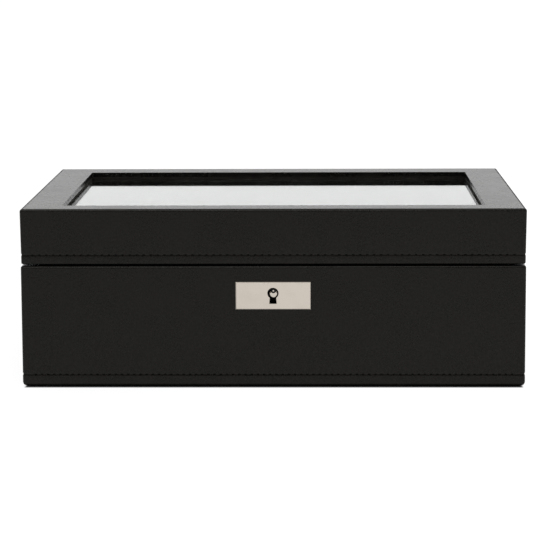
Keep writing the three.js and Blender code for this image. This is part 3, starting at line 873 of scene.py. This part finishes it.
@dataclass
class Skin:
    """The leather round a box: its outer form, rounded, with a pressed groove for the stitches."""

    name: str
    low: Vector
    high: Vector
    lean_low: float
    lean_high: float
    corner: float
    lower_edge: float
    upper_edge: float
    groove: float
    groove_half: float = 1.0 * MM
    groove_deep: float = 0.3 * MM

    @property
    def centre(self) -> Vector:
        """The middle of the form."""
        return (self.low + self.high) / 2

    def shrink(self, by: float) -> Triple:
        """Scale that draws each side in by a length in metres."""
        size = self.high - self.low
        return 1 - 2 * by / size.x, 1 - 2 * by / size.y, 1.0

    def inset_at(self, level: float) -> float:
        """How far the sides have drawn in at a height, in metres."""
        share = (level - self.low.z) / (self.high.z - self.low.z)
        return self.lean_low + (self.lean_high - self.lean_low) * share

    def form(self) -> Workpiece:
        """Block out the form, lean its sides, round its edges and press the groove.

        Returns:
            The solid form, still to be hollowed.
        """
        low, high, middle = self.low, self.high, self.centre
        skin = Workpiece.block(self.name, low, high)
        skin.resize(lambda p, n: near(p.z, low.z), self.shrink(self.lean_low), middle)
        skin.resize(lambda p, n: near(p.z, high.z), self.shrink(self.lean_high), middle)
        widest = max(self.corner, self.lower_edge, self.upper_edge)
        with skin.editing():
            for test, width in ((upright, self.corner), (lambda p, d: near(p.z, low.z), self.lower_edge),
                                (lambda p, d: near(p.z, high.z), self.upper_edge)):
                skin.pick(Part.EDGE, test)
                bpy.ops.transform.edge_bevelweight(value=width / widest)
        skin.modify("BEVEL", width=widest, segments=6, limit_method="WEIGHT", use_clamp_overlap=False)
        for offset in (-1, -0.5, 0, 0.5, 1):
            skin.score(self.groove + offset * self.groove_half)
        # The groove's whole floor is pressed in first, and then its middle line.
        for reach, deep in ((0.6, 0.55), (0.1, 0.45)):
            skin.resize(lambda p, n: near(p.z, self.groove, reach * self.groove_half),
                        self.shrink(self.groove_deep * deep), middle)
        return skin

    def stitches(self, pitch: float, body: Body) -> StitchRow:
        """The row of stitches that lies in the groove.

        Args:
            pitch: from stitch to stitch, in metres.
            body: the body it rides on.

        Returns:
            The row.
        """
        drawn = self.inset_at(self.groove) + self.groove_deep * 0.75
        inward = Vector((drawn, drawn, 0))
        return StitchRow(f"{self.name}_stitches", self.low + inward, self.high - inward, self.groove, pitch,
                         body)


@dataclass
class BaseShell:
    """The lower half: fibreboard walls and floor in their leather, linings inside and felt beneath."""

    wear_lean: float = 0.25 * MM
    stitch_rise: float = 7.5 * MM
    stitch_pitch: float = 3.75 * MM
    corner_round: float = 1.6 * MM
    foot_round: float = 2.6 * MM
    rim_round: float = 1.4 * MM
    felt_room: float = 0.6 * MM
    felt_round: float = 0.4 * MM
    lining_round: float = 0.75 * MM
    floor_round: float = 0.6 * MM
    divider_round: float = 0.7 * MM
    flange_thick: float = 1.5 * MM

    def skin(self) -> Skin:
        """The base's leather form, from its CAD node."""
        low, high = box_of("base_leather_wrap")
        return Skin("base_leather", low, high, 0.0, self.wear_lean, self.corner_round, self.foot_round,
                    self.rim_round, low.z + self.stitch_rise)

    def leather(self) -> None:
        """Make the leather: hollow the form for the boards, and cut it for the felt, lock and hinges."""
        form = self.skin()
        skin = form.form()
        boards = box_round([f"base_{side}_panel" for side in ("floor", *SIDES)])
        mouth = box_round([f"lining_{side}" for side in SIDES])
        mouth[1].z += 2 * OVERCUT
        felt = box_of("base_underside_felt", self.felt_room)
        felt[0].z -= OVERCUT
        plate, flange = box_of("lock_faceplate", HARDWARE_ROOM), box_of("lock_case", HARDWARE_ROOM)
        flange[0].z = flange[1].z - self.flange_thick
        flange[1].z += OVERCUT
        skin.carve(*(Workpiece.block("cutter", *room) for room in (boards, mouth, felt, plate, flange)),
                   *Hinges.pockets("hinge_base_leaf", -1, box_of("base_leather_wrap")[1].z))
        skin.hand_over(LEATHER, Body.BASE, Slot.LEATHER, "base_leather_wrap", smooth=32)
        form.stitches(self.stitch_pitch, Body.BASE).build()

    def build(self) -> None:
        """Build the base's pieces in order."""
        self.leather()
        dress([f"base_{side}_panel" for side in ("floor", *SIDES)], BOARD)
        clad("underside_felt", "base_underside_felt", FELT, Body.BASE, Slot.FELT, self.felt_round)
        for side in SIDES:
            clad(f"suede_lining_{side}", f"lining_{side}", SUEDE, Body.BASE, Slot.SUEDE, self.lining_round, 4)
        clad("suede_floor", "floor_lining", SUEDE, Body.BASE, Slot.SUEDE, self.floor_round)
        for name in ("long_divider", *(f"cross_divider_{number}" for number in range(1, 5))):
            clad(f"suede_{name}", name, SUEDE, Body.BASE, Slot.SUEDE, self.divider_round)


@dataclass
class LidShell:
    """The lid: walls and top in two leathers seamed at the top edge, the pane, its seat and the linings."""

    wear_lean: float = 0.6 * MM
    wear_top: float = 0.3 * MM
    droop: float = 0.5 * MM
    side_seam: float = 0.3 * MM
    corner_round: float = 1.5 * MM
    foot_round: float = 0.8 * MM
    top_round: float = 1.6 * MM
    pane_edge: float = 0.5 * MM
    seat_round: float = 0.8 * MM
    lining_round: float = 0.5 * MM
    top_overlap: float = 0.5 * MM
    band_edge: float = 0.25 * MM
    top_edge: float = 0.3 * MM
    paper_inset: float = 1.4 * MM
    paper_thick: float = 0.15 * MM
    stitch_rise: float = 5.6 * MM
    stitch_pitch: float = 4.2 * MM
    leather: float = 1.0 * MM
    window_round: float = 3.0 * MM
    window_corner: float = 1.5 * MM
    strip_high: float = 1.5 * MM
    strip_deep: float = 0.6 * MM

    def side_leather(self) -> None:
        """Make the band of leather round the lid, turned in at the bottom and at the top seam."""
        low, high = box_of("lid_side_leather")
        edge = low.z
        low.z -= self.droop
        form = Skin("lid_band_leather", low, high, self.wear_lean, self.wear_top, self.corner_round,
                    self.foot_round, self.top_round, low.z + self.stitch_rise)
        skin = form.form()
        boards, mouth = box_of("lid_top_panel", GLUE / 2), box_of("lid_lining_band", GLUE / 2)
        boards[0].z = box_of("lid_left_panel", GLUE / 2)[0].z
        mouth[0].z = low.z - OVERCUT
        top = box_of("lid_top_leather", GLUE)
        top[0].x, top[1].x = top[0].x - self.side_seam, top[1].x + self.side_seam
        top[0].z, top[1].z = boards[1].z - self.top_overlap, high.z + OVERCUT
        rooms = (boards, mouth, top, box_of("strike_plate", HARDWARE_ROOM))
        skin.carve(*(Workpiece.block("cutter", *room) for room in rooms),
                   *Hinges.pockets("hinge_lid_leaf", 1, edge))
        skin.bevel(self.band_edge, 2, lambda p, d: near(p.z, high.z) and on_rim(p, *top))
        skin.hand_over(LEATHER, Body.LID, Slot.LEATHER, "lid_side_leather", smooth=32)
        form.stitches(self.stitch_pitch, Body.LID).build()
        self.rim_paper(low, high)

    def rim_paper(self, low: Vector, high: Vector) -> None:
        """Paste dead black paper over the leather's turned-in edge, under the lid: painted shade, a dark sheet
        that stands in for the shade in the gap between lid and base.

        Args:
            low: the leather's lowest corner, in metres.
            high: its highest corner.
        """
        inset = Vector((self.paper_inset, self.paper_inset, 0))
        first, last = low + inset, high - inset
        first.z, last.z = low.z - self.paper_thick, low.z
        mouth = box_of("lid_lining_band", GLUE / 2)
        mouth[0].z, mouth[1].z = first.z - MM, last.z + MM
        paper = Workpiece.block("lid_rim_shade_paper", first, last)
        paper.carve(Workpiece.block("mouth", *mouth),
                    Workpiece.block("strike", *box_of("strike_plate", HARDWARE_ROOM)),
                    *Hinges.pockets("hinge_lid_leaf", 1, low.z + self.droop))
        paper.hand_over(SHADE_PAPER, Body.LID, Slot.SUEDE, smooth=32)

    def top_leather(self) -> None:
        """Make the frame of leather on top, rolled down into the window."""
        low, high = box_of("lid_top_leather")
        panel_low, panel_high = box_of("lid_top_panel", GLUE / 2)
        pane = self.window()
        skin = Workpiece.block("lid_top_frame_leather", low, high)
        skin.carve(self.opening("window", pane, 0.0, low.z - MM, high.z + MM))
        board = Workpiece.block("board", panel_low - Vector((0, 0, MM)), panel_high)
        board.carve(self.opening("hole", pane, self.leather, low.z - MM, high.z + MM))
        skin.bevel(self.window_round, 7, lambda p, d: near(p.z, high.z) and not on_rim(p, low, high))
        skin.carve(board)
        # Painted shade: a dark foam strip in a notch at the window's foot beds the pane and stands in for the
        # shade under the leather's rolled edge.
        strip_top = low.z + self.strip_high
        skin.carve(self.opening("notch", pane, self.strip_deep, low.z - MM, strip_top))
        skin.bevel(self.top_edge, 2, lambda p, d: near(p.z, high.z) and on_rim(p, low, high))
        skin.hand_over(LEATHER, Body.LID, Slot.LEATHER, "lid_top_leather", smooth=32)
        strip = self.opening("pane_strip_painted_shade", pane, self.strip_deep - GLUE / 2, low.z, strip_top - GLUE / 2)
        strip.carve(self.opening("window", pane, GLUE / 2, low.z - MM, high.z))
        strip.hand_over(FOAM_SHADE, Body.LID, Slot.FELT, smooth=32)

    def opening(self, name: str, pane: Corners, grow: float, foot: float, top: float) -> Workpiece:
        """Block with the window's rounded corners.

        Args:
            name: its name.
            pane: the window's corners.
            grow: how far it reaches past the window, in metres.
            foot: the height of its underside.
            top: the height of its top.

        Returns:
            The block.
        """
        reach = Vector((grow, grow, 0))
        low, high = pane[0] - reach, pane[1] + reach
        low.z, high.z = foot, top
        return Workpiece.block(name, low, high).bevel(self.window_corner + grow, 6, upright)

    @staticmethod
    def window() -> Corners:
        """The window's corners in the leather, from the CAD leather's own inner edge, open above and below.

        Returns:
            Its lowest and its highest corner.
        """
        low, high = box_of("lid_top_leather")
        top = [v.co for v in frame["nodes"]["lid_top_leather"].data.vertices if near(v.co.z, high.z)]
        xs, ys, _ = zip(*(p for p in top if not on_rim(p, low, high)))
        return Vector((min(xs), min(ys), low.z - MM)), Vector((max(xs), max(ys), high.z + MM))

    def build(self) -> None:
        """Build the lid's pieces in order."""
        self.side_leather()
        self.top_leather()
        dress([f"lid_{side}_panel" for side in (*SIDES, "top")], BOARD)
        clad("window_pane", "lid_glass", GLASS, Body.LID, Slot.GLASS, self.pane_edge, 1, smooth=20)
        clad("suede_pane_seat", "glass_retainer", SUEDE, Body.LID, Slot.SUEDE, self.seat_round)
        clad("suede_lid_band", "lid_lining_band", SUEDE, Body.LID, Slot.SUEDE, self.lining_round)


# ---------------------------------------------------------------------------------------------- hardware


@dataclass
class Screw:
    """A small countersunk screw with a cross recess.

    Each of its steps says how far it goes down and how much the screw narrows there; tip is the last narrowing.
    """

    node: str
    body: Body
    finish: Finish
    slot: Slot
    up: bool
    rim: float = 0.3 * MM
    steps: tuple[tuple[float, float], ...] = ((1.3 * MM, 0.52), (0.5 * MM, 0.9), (3.6 * MM, 1.0))
    tip: float = 0.15
    arm_reach: float = 0.62
    arm_half: float = 0.32 * MM
    recess: float = 0.9 * MM
    edge: float = 0.1 * MM

    def build(self) -> None:
        """Model the screw at its CAD node's place: head, cone, neck, shank and tip, and then the recess."""
        low, high = box_of(self.node)
        radius = (high.x - low.x) / 2
        sign = 1 if self.up else -1
        place, end = (low + high) / 2, low.z if self.up else high.z
        place.z = high.z if self.up else low.z
        head, level = place.copy(), place.z - sign * self.rim
        screw = Workpiece.rod(self.node.replace("screw", "fixing"), place - Vector((0, 0, sign * self.rim)),
                              place, radius, 24)
        with screw.editing():
            screw.pick(Part.FACE, lambda p, n: near(p.z, level) and abs(n.z) > 0.9)
            for drop, scale in (*self.steps, (None, self.tip)):
                place.z = end if drop is None else level - sign * drop
                bpy.ops.mesh.extrude_region_move(TRANSFORM_OT_translate={"value": (0, 0, place.z - level)})
                bpy.ops.transform.resize(value=(scale, scale, 1), center_override=tuple(place))
                level = place.z
        long, wide = radius * self.arm_reach, self.arm_half
        for half_x, half_y in ((long, wide), (wide, long)):
            corner = Vector((half_x, half_y, self.recess))
            screw.carve(Workpiece.block("recess", head - corner, head + corner))
        screw.soften(self.edge, 2, 50).hand_over(self.finish, self.body, self.slot, self.node, smooth=35)


@dataclass
class Lock:
    """The keyhole plate, the lock behind it, its bolt, and the strike under the lid."""

    edge: float = 0.5 * MM
    keyhole_radius: float = 3.35 * MM
    slot_drop: float = 6.4 * MM
    slot_top: float = 3.5 * MM
    slot_foot: float = 4.4 * MM
    post_radius: float = 2.5 * MM
    post_shift: tuple[float, float] = (0.35 * MM, -0.3 * MM)
    bore_radius: float = 1.5 * MM
    bore_shift: tuple[float, float] = (0.25 * MM, 1.5 * MM)
    pin_radius: float = 0.6 * MM
    keyhole_edge: float = 0.08 * MM
    keyhole_reach: tuple[float, float] = (4 * MM, 7 * MM)
    post_round: float = 0.9 * MM
    pin_drop: float = 0.1 * MM
    pin_room: float = 0.02 * MM
    sleeve_drop: float = 0.3 * MM
    sleeve_room: float = 0.03 * MM
    case_round: float = 0.22 * MM
    bolt_round: float = 0.2 * MM
    bore_deep: float = 3.0 * MM

    def plate(self) -> None:
        """Model the plate with its bright edge and its keyhole."""
        low, high = box_of("lock_faceplate")
        post_low, post_high = box_of("lock_post")
        eye = (post_low.z + post_high.z) / 2
        plate = Workpiece.block("keyhole_plate", low, high)
        plate.bevel(self.edge, 1, lambda p, d: near(p.y, low.y))
        start, end = Vector((0, low.y - MM, eye)), Vector((0, high.y + MM, eye))
        slot = Workpiece.block("slot", (-self.slot_foot / 2, start.y, eye - self.slot_drop),
                               (self.slot_foot / 2, end.y, eye))
        slot.resize(lambda p, n: near(p.z, eye), (self.slot_top / self.slot_foot, 1, 1), Vector((0, 0, eye)))
        plate.carve(Workpiece.rod("eye", start, end, self.keyhole_radius, 40), slot)
        plate.bevel(self.keyhole_edge, 1, lambda p, d: near(p.y, low.y) and abs(p.x) < self.keyhole_reach[0]
                    and abs(p.z - eye) < self.keyhole_reach[1])
        plate.hand_over(NICKEL, Body.BASE, Slot.NICKEL, "lock_faceplate", smooth=35)

    def post(self) -> None:
        """Model the post that the key turns on: its rounded face, its sleeved bore and the pin in that."""
        low, high = box_of("lock_post")
        middle = (low + high) / 2

        def rod(name: str, shift: tuple[float, float], radius: float, front: float, back: float) -> Workpiece:
            """A rod along Y, shifted from the post's middle along X and Z."""
            x, z = middle.x + shift[0], middle.z + shift[1]
            return Workpiece.rod(name, (x, front, z), (x, back, z), radius, 40)

        post = rod("key_post", self.post_shift, self.post_radius, low.y, high.y)
        post.bevel(self.post_round, 5, lambda p, d: near(p.y, low.y))
        foot = low.y + self.bore_deep
        post.carve(rod("bore", self.bore_shift, self.bore_radius, low.y - MM, foot))
        pin = rod("pin", self.bore_shift, self.pin_radius, low.y + self.pin_drop, foot - GLUE)
        pin.bevel(self.pin_radius / 2, 4, lambda p, d: near(p.y, low.y + self.pin_drop))
        post.join([pin])
        post.hand_over(NICKEL, Body.BASE, Slot.NICKEL, "lock_post", smooth=50, weighted=False)
        sleeve = rod("key_bore_sleeve", self.bore_shift, self.bore_radius - self.sleeve_room,
                     low.y + self.sleeve_drop, foot - GLUE)
        sleeve.carve(rod("core", self.bore_shift, self.pin_radius + self.pin_room, low.y, high.y))
        sleeve.hand_over(ZINC, Body.BASE, Slot.ZINC, smooth=50)

    def build(self) -> None:
        """Build the lock's pieces in order."""
        self.plate()
        self.post()
        clad("lock_body", "lock_case", ZINC, Body.BASE, Slot.ZINC, self.case_round, 2)
        clad("sliding_bolt", "lock_bolt", ZINC, Body.BOLT, Slot.ZINC, self.bolt_round, 2)
        clad("lid_strike", "strike_plate", ZINC, Body.LID, Slot.ZINC, self.bolt_round, 2)
        for side in ("left", "right"):
            Screw(f"lock_screw_{side}", Body.BASE, ZINC, Slot.ZINC, True).build()
            Screw(f"strike_screw_{side}", Body.LID, ZINC, Slot.ZINC, False).build()


@dataclass
class Hinges:
    """Two butt hinges, each a base leaf, a lid leaf, a pin and four screws."""

    edge: float = 0.18 * MM
    pin_edge: float = 0.35 * MM
    pocket_deep: float = 1.3 * MM

    @classmethod
    def pockets(cls, node: str, sign: int, edge: float) -> list[Workpiece]:
        """Blocks that cut the leather where the leaves lie in it.

        Args:
            node: the leaves' name, without its side.
            sign: -1 where the leaf lies under the rim, 1 where it lies over the lid's lower edge.
            edge: the height of that rim or edge, in metres.

        Returns:
            The two blocks.
        """
        blocks = []
        for side in ("left", "right"):
            low, high = box_of(f"{node}_{side}", HARDWARE_ROOM)
            low.z, high.z = sorted((edge + sign * cls.pocket_deep, edge - sign * OVERCUT))
            blocks.append(Workpiece.block("pocket", low, high))
        return blocks

    def build(self) -> None:
        """Build the hinges' pieces in order."""
        for side in ("left", "right"):
            for leaf, body in (("base", Body.BASE), ("lid", Body.LID)):
                node = f"hinge_{leaf}_leaf_{side}"
                clad(f"{leaf}_leaf_{side}", node, NICKEL, body, Slot.NICKEL, self.edge, 2, 40)
                for place in ("outer", "inner"):
                    Screw(f"hinge_{leaf}_screw_{side}_{place}", body, NICKEL, Slot.NICKEL,
                          leaf == "base").build()
            low, high = box_of(f"hinge_pin_{side}")
            middle = (low + high) / 2
            pin = Workpiece.rod(f"pin_{side}", (low.x, middle.y, middle.z), (high.x, middle.y, middle.z),
                                (high.z - low.z) / 2, 24)
            pin.bevel(self.pin_edge, 3, lambda p, d: near(p.x, low.x) or near(p.x, high.x))
            pin.hand_over(NICKEL, Body.BASE, Slot.NICKEL, f"hinge_pin_{side}", smooth=50, weighted=False)


# ---------------------------------------------------------------------------------------------- cushions


@dataclass
class Cushions:
    """Ten lift-out watch cushions: a strip of suede sewn round two end panels and filled."""

    count: int = 10
    voxel: float = 4.0 * MM
    pressure: float = 4.0
    frames: int = 20
    cap: float = 4.0 * MM
    room: float = 0.05 * MM
    slack: Triple = (1.6 * MM, 2.6 * MM, 2.6 * MM)
    side_round: float = 11 * MM
    end_round: float = 2.5 * MM
    held_end: float = 5.5 * MM
    held_edge: float = 9 * MM
    piping: float = 0.55 * MM
    seam_inset: float = 3.0 * MM

    def mould(self) -> Workpiece:
        """Block out the first cushion, a little small, and sew its end seams.

        Returns:
            The cushion before it is filled.
        """
        low, high = box_of("cushion_1")
        low, high = low + Vector(self.slack), high - Vector(self.slack)
        cushion = Workpiece.block("watch_cushion_1", low, high)
        cushion.bevel(self.side_round, 5, lambda p, d: abs(d.x) > 0.9)
        cushion.bevel(self.end_round, 2, lambda p, d: near(p.x, low.x) or near(p.x, high.x))
        return cushion.modify("REMESH", mode="VOXEL", voxel_size=self.voxel)

    def fill(self, cushion: Workpiece) -> None:
        """Fill the cushion by a cloth simulation, with its end seams held, and cap how far it swells.

        Args:
            cushion: the sewn cushion.
        """
        obj = cushion.obj
        low, high = box_of("cushion_1")
        middle, half = (low + high) / 2, (high - low) / 2
        rest = [v.co.copy() for v in obj.data.vertices]
        seams = obj.vertex_groups.new(name="seams")
        for i, place in enumerate(rest):
            drop_x, drop_y, drop_z = (h - abs(d) for h, d in zip(half, place - middle))
            held = drop_x < self.held_end and min(drop_y, drop_z) < self.held_edge
            seams.add([i], 1.0 if held else 0.0, "REPLACE")
        cushion.take()
        cloth = obj.modifiers.new("filling", "CLOTH")
        settings = cloth.settings
        settings.use_pressure = True
        settings.uniform_pressure_force = self.pressure
        settings.effector_weights.gravity = 0
        settings.vertex_group_mass = "seams"
        settings.quality = 6
        cloth.point_cache.frame_start, cloth.point_cache.frame_end = 1, self.frames
        scene = bpy.context.scene
        for number in range(1, self.frames + 1):
            scene.frame_set(number)
        bpy.ops.object.modifier_apply(modifier=cloth.name)
        for vertex, start in zip(obj.data.vertices, rest):
            moved = vertex.co - start
            if moved.length > self.cap:
                vertex.co = start + moved.normalized() * self.cap
        scene.frame_set(1)
        obj.vertex_groups.clear()

    def trim(self, cushion: Workpiece) -> None:
        """Keep the filled cushion inside its CAD room."""
        low, high = box_of("cushion_1", -self.room)
        for vertex in cushion.obj.data.vertices:
            vertex.co = Vector(min(max(c, a), b) for c, a, b in zip(vertex.co, low, high))

    def build(self) -> None:
        """Make one cushion and copy it to the ten places."""
        first = self.mould()
        self.fill(first)
        first.modify("SUBSURF", levels=1, render_levels=1)
        self.trim(first)
        seam = self.piped(first)
        home = box_of("cushion_1")[0]
        for number in range(2, self.count + 1):
            node = f"cushion_{number}"
            offset = box_of(node)[0] - home
            self.finish(first.copy(f"watch_cushion_{number}", offset),
                        seam.copy(f"cushion_piping_{number}", offset), node)
        self.finish(first, seam, "cushion_1")

    def piped(self, cushion: Workpiece) -> Workpiece:
        """Lay the two corded end seams on the filled cushion, where its skin really is.

        Args:
            cushion: the filled cushion.

        Returns:
            Both seams as one workpiece.
        """
        low, high = box_of("cushion_1")
        seams = []
        for level in (low.x + self.seam_inset, high.x - self.seam_inset):
            seam = cushion.copy("cushion_piping_1", Vector((0, 0, 0)))
            with seam.editing():
                bpy.ops.mesh.select_all(action="SELECT")
                bpy.ops.mesh.bisect(plane_co=(level, 0, 0), plane_no=(1, 0, 0), clear_inner=True,
                                    clear_outer=True)
            seam.take()
            bpy.ops.object.convert(target="CURVE")
            seam.obj.data.bevel_depth, seam.obj.data.bevel_resolution = self.piping, 1
            bpy.ops.object.convert(target="MESH")
            seams.append(Workpiece(bpy.context.active_object))
        return seams[0].join(seams[1:])

    def finish(self, cushion: Workpiece, seam: Workpiece, node: str) -> None:
        """Dress one cushion and its end seams.

        Args:
            cushion: the cushion.
            seam: its end seams.
            node: the CAD node it stands for, which is also its body's name.
        """
        obj = cushion.hand_over(VELVET, node, Slot.CUSHION, node, smooth=80, weighted=False)
        seam.hand_over(PIPING, node, Slot.CUSHION, smooth=80, weighted=False)


# ---------------------------------------------------------------------------------------------- the studio


@dataclass
class Studio:
    """A white table under soft light, and the camera."""

    lens: float = 138.6
    place: Triple = (0.026, -1.3574, 0.275)
    yaw: float = -1.19
    pitch: float = 9.32
    roll: float = 0.25
    # The table's glow, with its painted light towards the right and its painted contact shadow near the box.
    floor_glow: float = 0.88
    floor_paint: float = 0.22
    floor_painted_right_light: float = 0.10
    contact: float = 2.0 * MM
    tuck: float = 2.4 * MM
    lit_from: float = -0.2
    lit_to: float = 0.35
    sky_front: float = 0.08
    sky_back: float = 1.2
    sky_top: float = 0.8
    sky_seen: float = 1.05
    softbox_place: Triple = (-0.1, -1.05, 1.2)
    softbox_size: float = 0.8
    softbox_power: float = 6.0
    softbox_aim: Triple = (0, 0, 0.05)

    def camera(self) -> None:
        """Set the camera up; yaw is to the right, pitch is down and roll is clockwise, in degrees."""
        camera = bpy.data.objects.new("camera", bpy.data.cameras.new("camera"))
        bpy.context.scene.collection.objects.link(camera)
        camera.data.lens, camera.data.sensor_width = self.lens, 36.0
        camera.data.clip_start, camera.data.clip_end = 0.05, 50.0
        camera.matrix_world = (Matrix.Translation(self.place)
                               @ Matrix.Rotation(-math.radians(self.yaw), 4, "Z")
                               @ Matrix.Rotation(math.radians(90 - self.pitch), 4, "X")
                               @ Matrix.Rotation(-math.radians(self.roll), 4, "Z"))
        bpy.context.scene.camera = camera

    def floor(self) -> None:
        """Lay the white table, lit from within; the glow fades near the box as a thin painted contact shadow
        and rises a little towards the right as painted light.
        """
        Workpiece.clear()
        bpy.ops.mesh.primitive_plane_add(size=12, location=(0, 0, 0))
        table = Workpiece.taken("table")
        paper = bpy.data.materials.new("glowing_table_painted_shadow")
        paper.use_nodes = True
        tree = paper.node_tree
        tree.nodes.clear()
        # Painted contact shadow: the glow fades out within 2 mm of the box's footprint, drawn in along X by the
        # tuck.
        low, high = box_of("base_leather_wrap")
        place = add(tree, "TexCoord").outputs["Object"]
        middle = add(tree, "VectorMath", {1: ((low + high) / 2).to_tuple()}, {0: place}, operation="SUBTRACT")
        size = add(tree, "VectorMath", links={0: middle}, operation="ABSOLUTE")
        half = (high - low) / 2 - Vector((self.tuck, 0, 0))
        past = add(tree, "VectorMath", {1: half.to_tuple()}, {0: size}, operation="SUBTRACT")
        axes = add(tree, "SeparateXYZ", links={0: past})
        reach = add(tree, "Math", links={0: axes.outputs["X"], 1: axes.outputs["Y"]}, operation="MAXIMUM")
        lit = add(tree, "MapRange", {"From Max": self.contact, "To Max": self.floor_glow}, {"Value": reach},
                  interpolation_type="SMOOTHSTEP")
        # Painted light: the glow rises by a tenth across the table towards the right.
        across = add(tree, "SeparateXYZ", links={0: place})
        span = {"From Min": self.lit_from, "From Max": self.lit_to, "To Min": 1.0,
                "To Max": 1.0 + self.floor_painted_right_light}
        right = add(tree, "MapRange", span, {"Value": across.outputs["X"]}, interpolation_type="SMOOTHSTEP")
        painted_floor_light = add(tree, "Math", links={0: lit, 1: right}, operation="MULTIPLY")
        glow = add(tree, "Emission", {"Color": WHITE}, {"Strength": painted_floor_light})
        paint = add(tree, "BsdfDiffuse", {"Color": (self.floor_paint,) * 3 + (1,)})
        both = add(tree, "AddShader", links={0: glow, 1: paint})
        add(tree, "OutputMaterial", links={"Surface": both})
        table.obj.data.materials.append(paper)

    def sky(self) -> None:
        """Surround the table with soft light: bright behind the box, dim in front and above."""
        world = bpy.data.worlds.new("studio")
        bpy.context.scene.world = world
        world.use_nodes = True
        tree = world.node_tree
        tree.nodes.clear()
        way = add(tree, "TexCoord").outputs["Generated"]
        axes = add(tree, "SeparateXYZ", links={0: way})
        aside = add(tree, "Math", {1: 0.35}, {0: axes.outputs["X"], 2: axes.outputs["Y"]},
                    operation="MULTIPLY_ADD")
        behind = add(tree, "MapRange",
                     {"From Min": -0.5, "From Max": 0.5, "To Min": self.sky_front, "To Max": self.sky_back},
                     {"Value": aside}, interpolation_type="SMOOTHSTEP")
        above = add(tree, "MapRange", {"From Min": 0.6, "From Max": 0.95}, {"Value": axes.outputs["Z"]},
                    interpolation_type="SMOOTHSTEP")
        light = add(tree, "Mix", {3: self.sky_top}, {0: above, 2: behind}, data_type="FLOAT")
        ray = add(tree, "LightPath").outputs
        seen = add(tree, "Math", links={0: ray["Is Camera Ray"], 1: ray["Is Transmission Ray"]},
                   operation="MAXIMUM")
        strength = add(tree, "Mix", {3: self.sky_seen}, {0: seen, 2: light}, data_type="FLOAT")
        back = add(tree, "Background", {"Color": WHITE}, {"Strength": strength})
        add(tree, "OutputWorld", links={"Surface": back})

    def softbox(self) -> None:
        """Hang the square soft light that looks at the box from the front."""
        data = bpy.data.lights.new("front_softbox", "AREA")
        data.size, data.energy = self.softbox_size, self.softbox_power
        lamp = bpy.data.objects.new("front_softbox", data)
        bpy.context.scene.collection.objects.link(lamp)
        way = Vector(self.softbox_aim) - Vector(self.softbox_place)
        turn = way.to_track_quat("-Z", "Y").to_matrix().to_4x4()
        lamp.matrix_world = Matrix.Translation(self.softbox_place) @ turn

    def build(self) -> None:
        """Set up the camera, the table and the light."""
        self.camera()
        self.floor()
        self.sky()
        self.softbox()
        bpy.context.scene.view_settings.view_transform = "Standard"


def main() -> None:
    """Build every sub-assembly in order."""
    logging.basicConfig(level=logging.INFO, format="%(name)s: %(message)s")
    Studio().build()
    for assembly in (BaseShell(), LidShell(), Lock(), Hinges(), Cushions()):
        LOG.info("building %s", type(assembly).__name__)
        assembly.build()


if __name__ == "__main__":
    main()
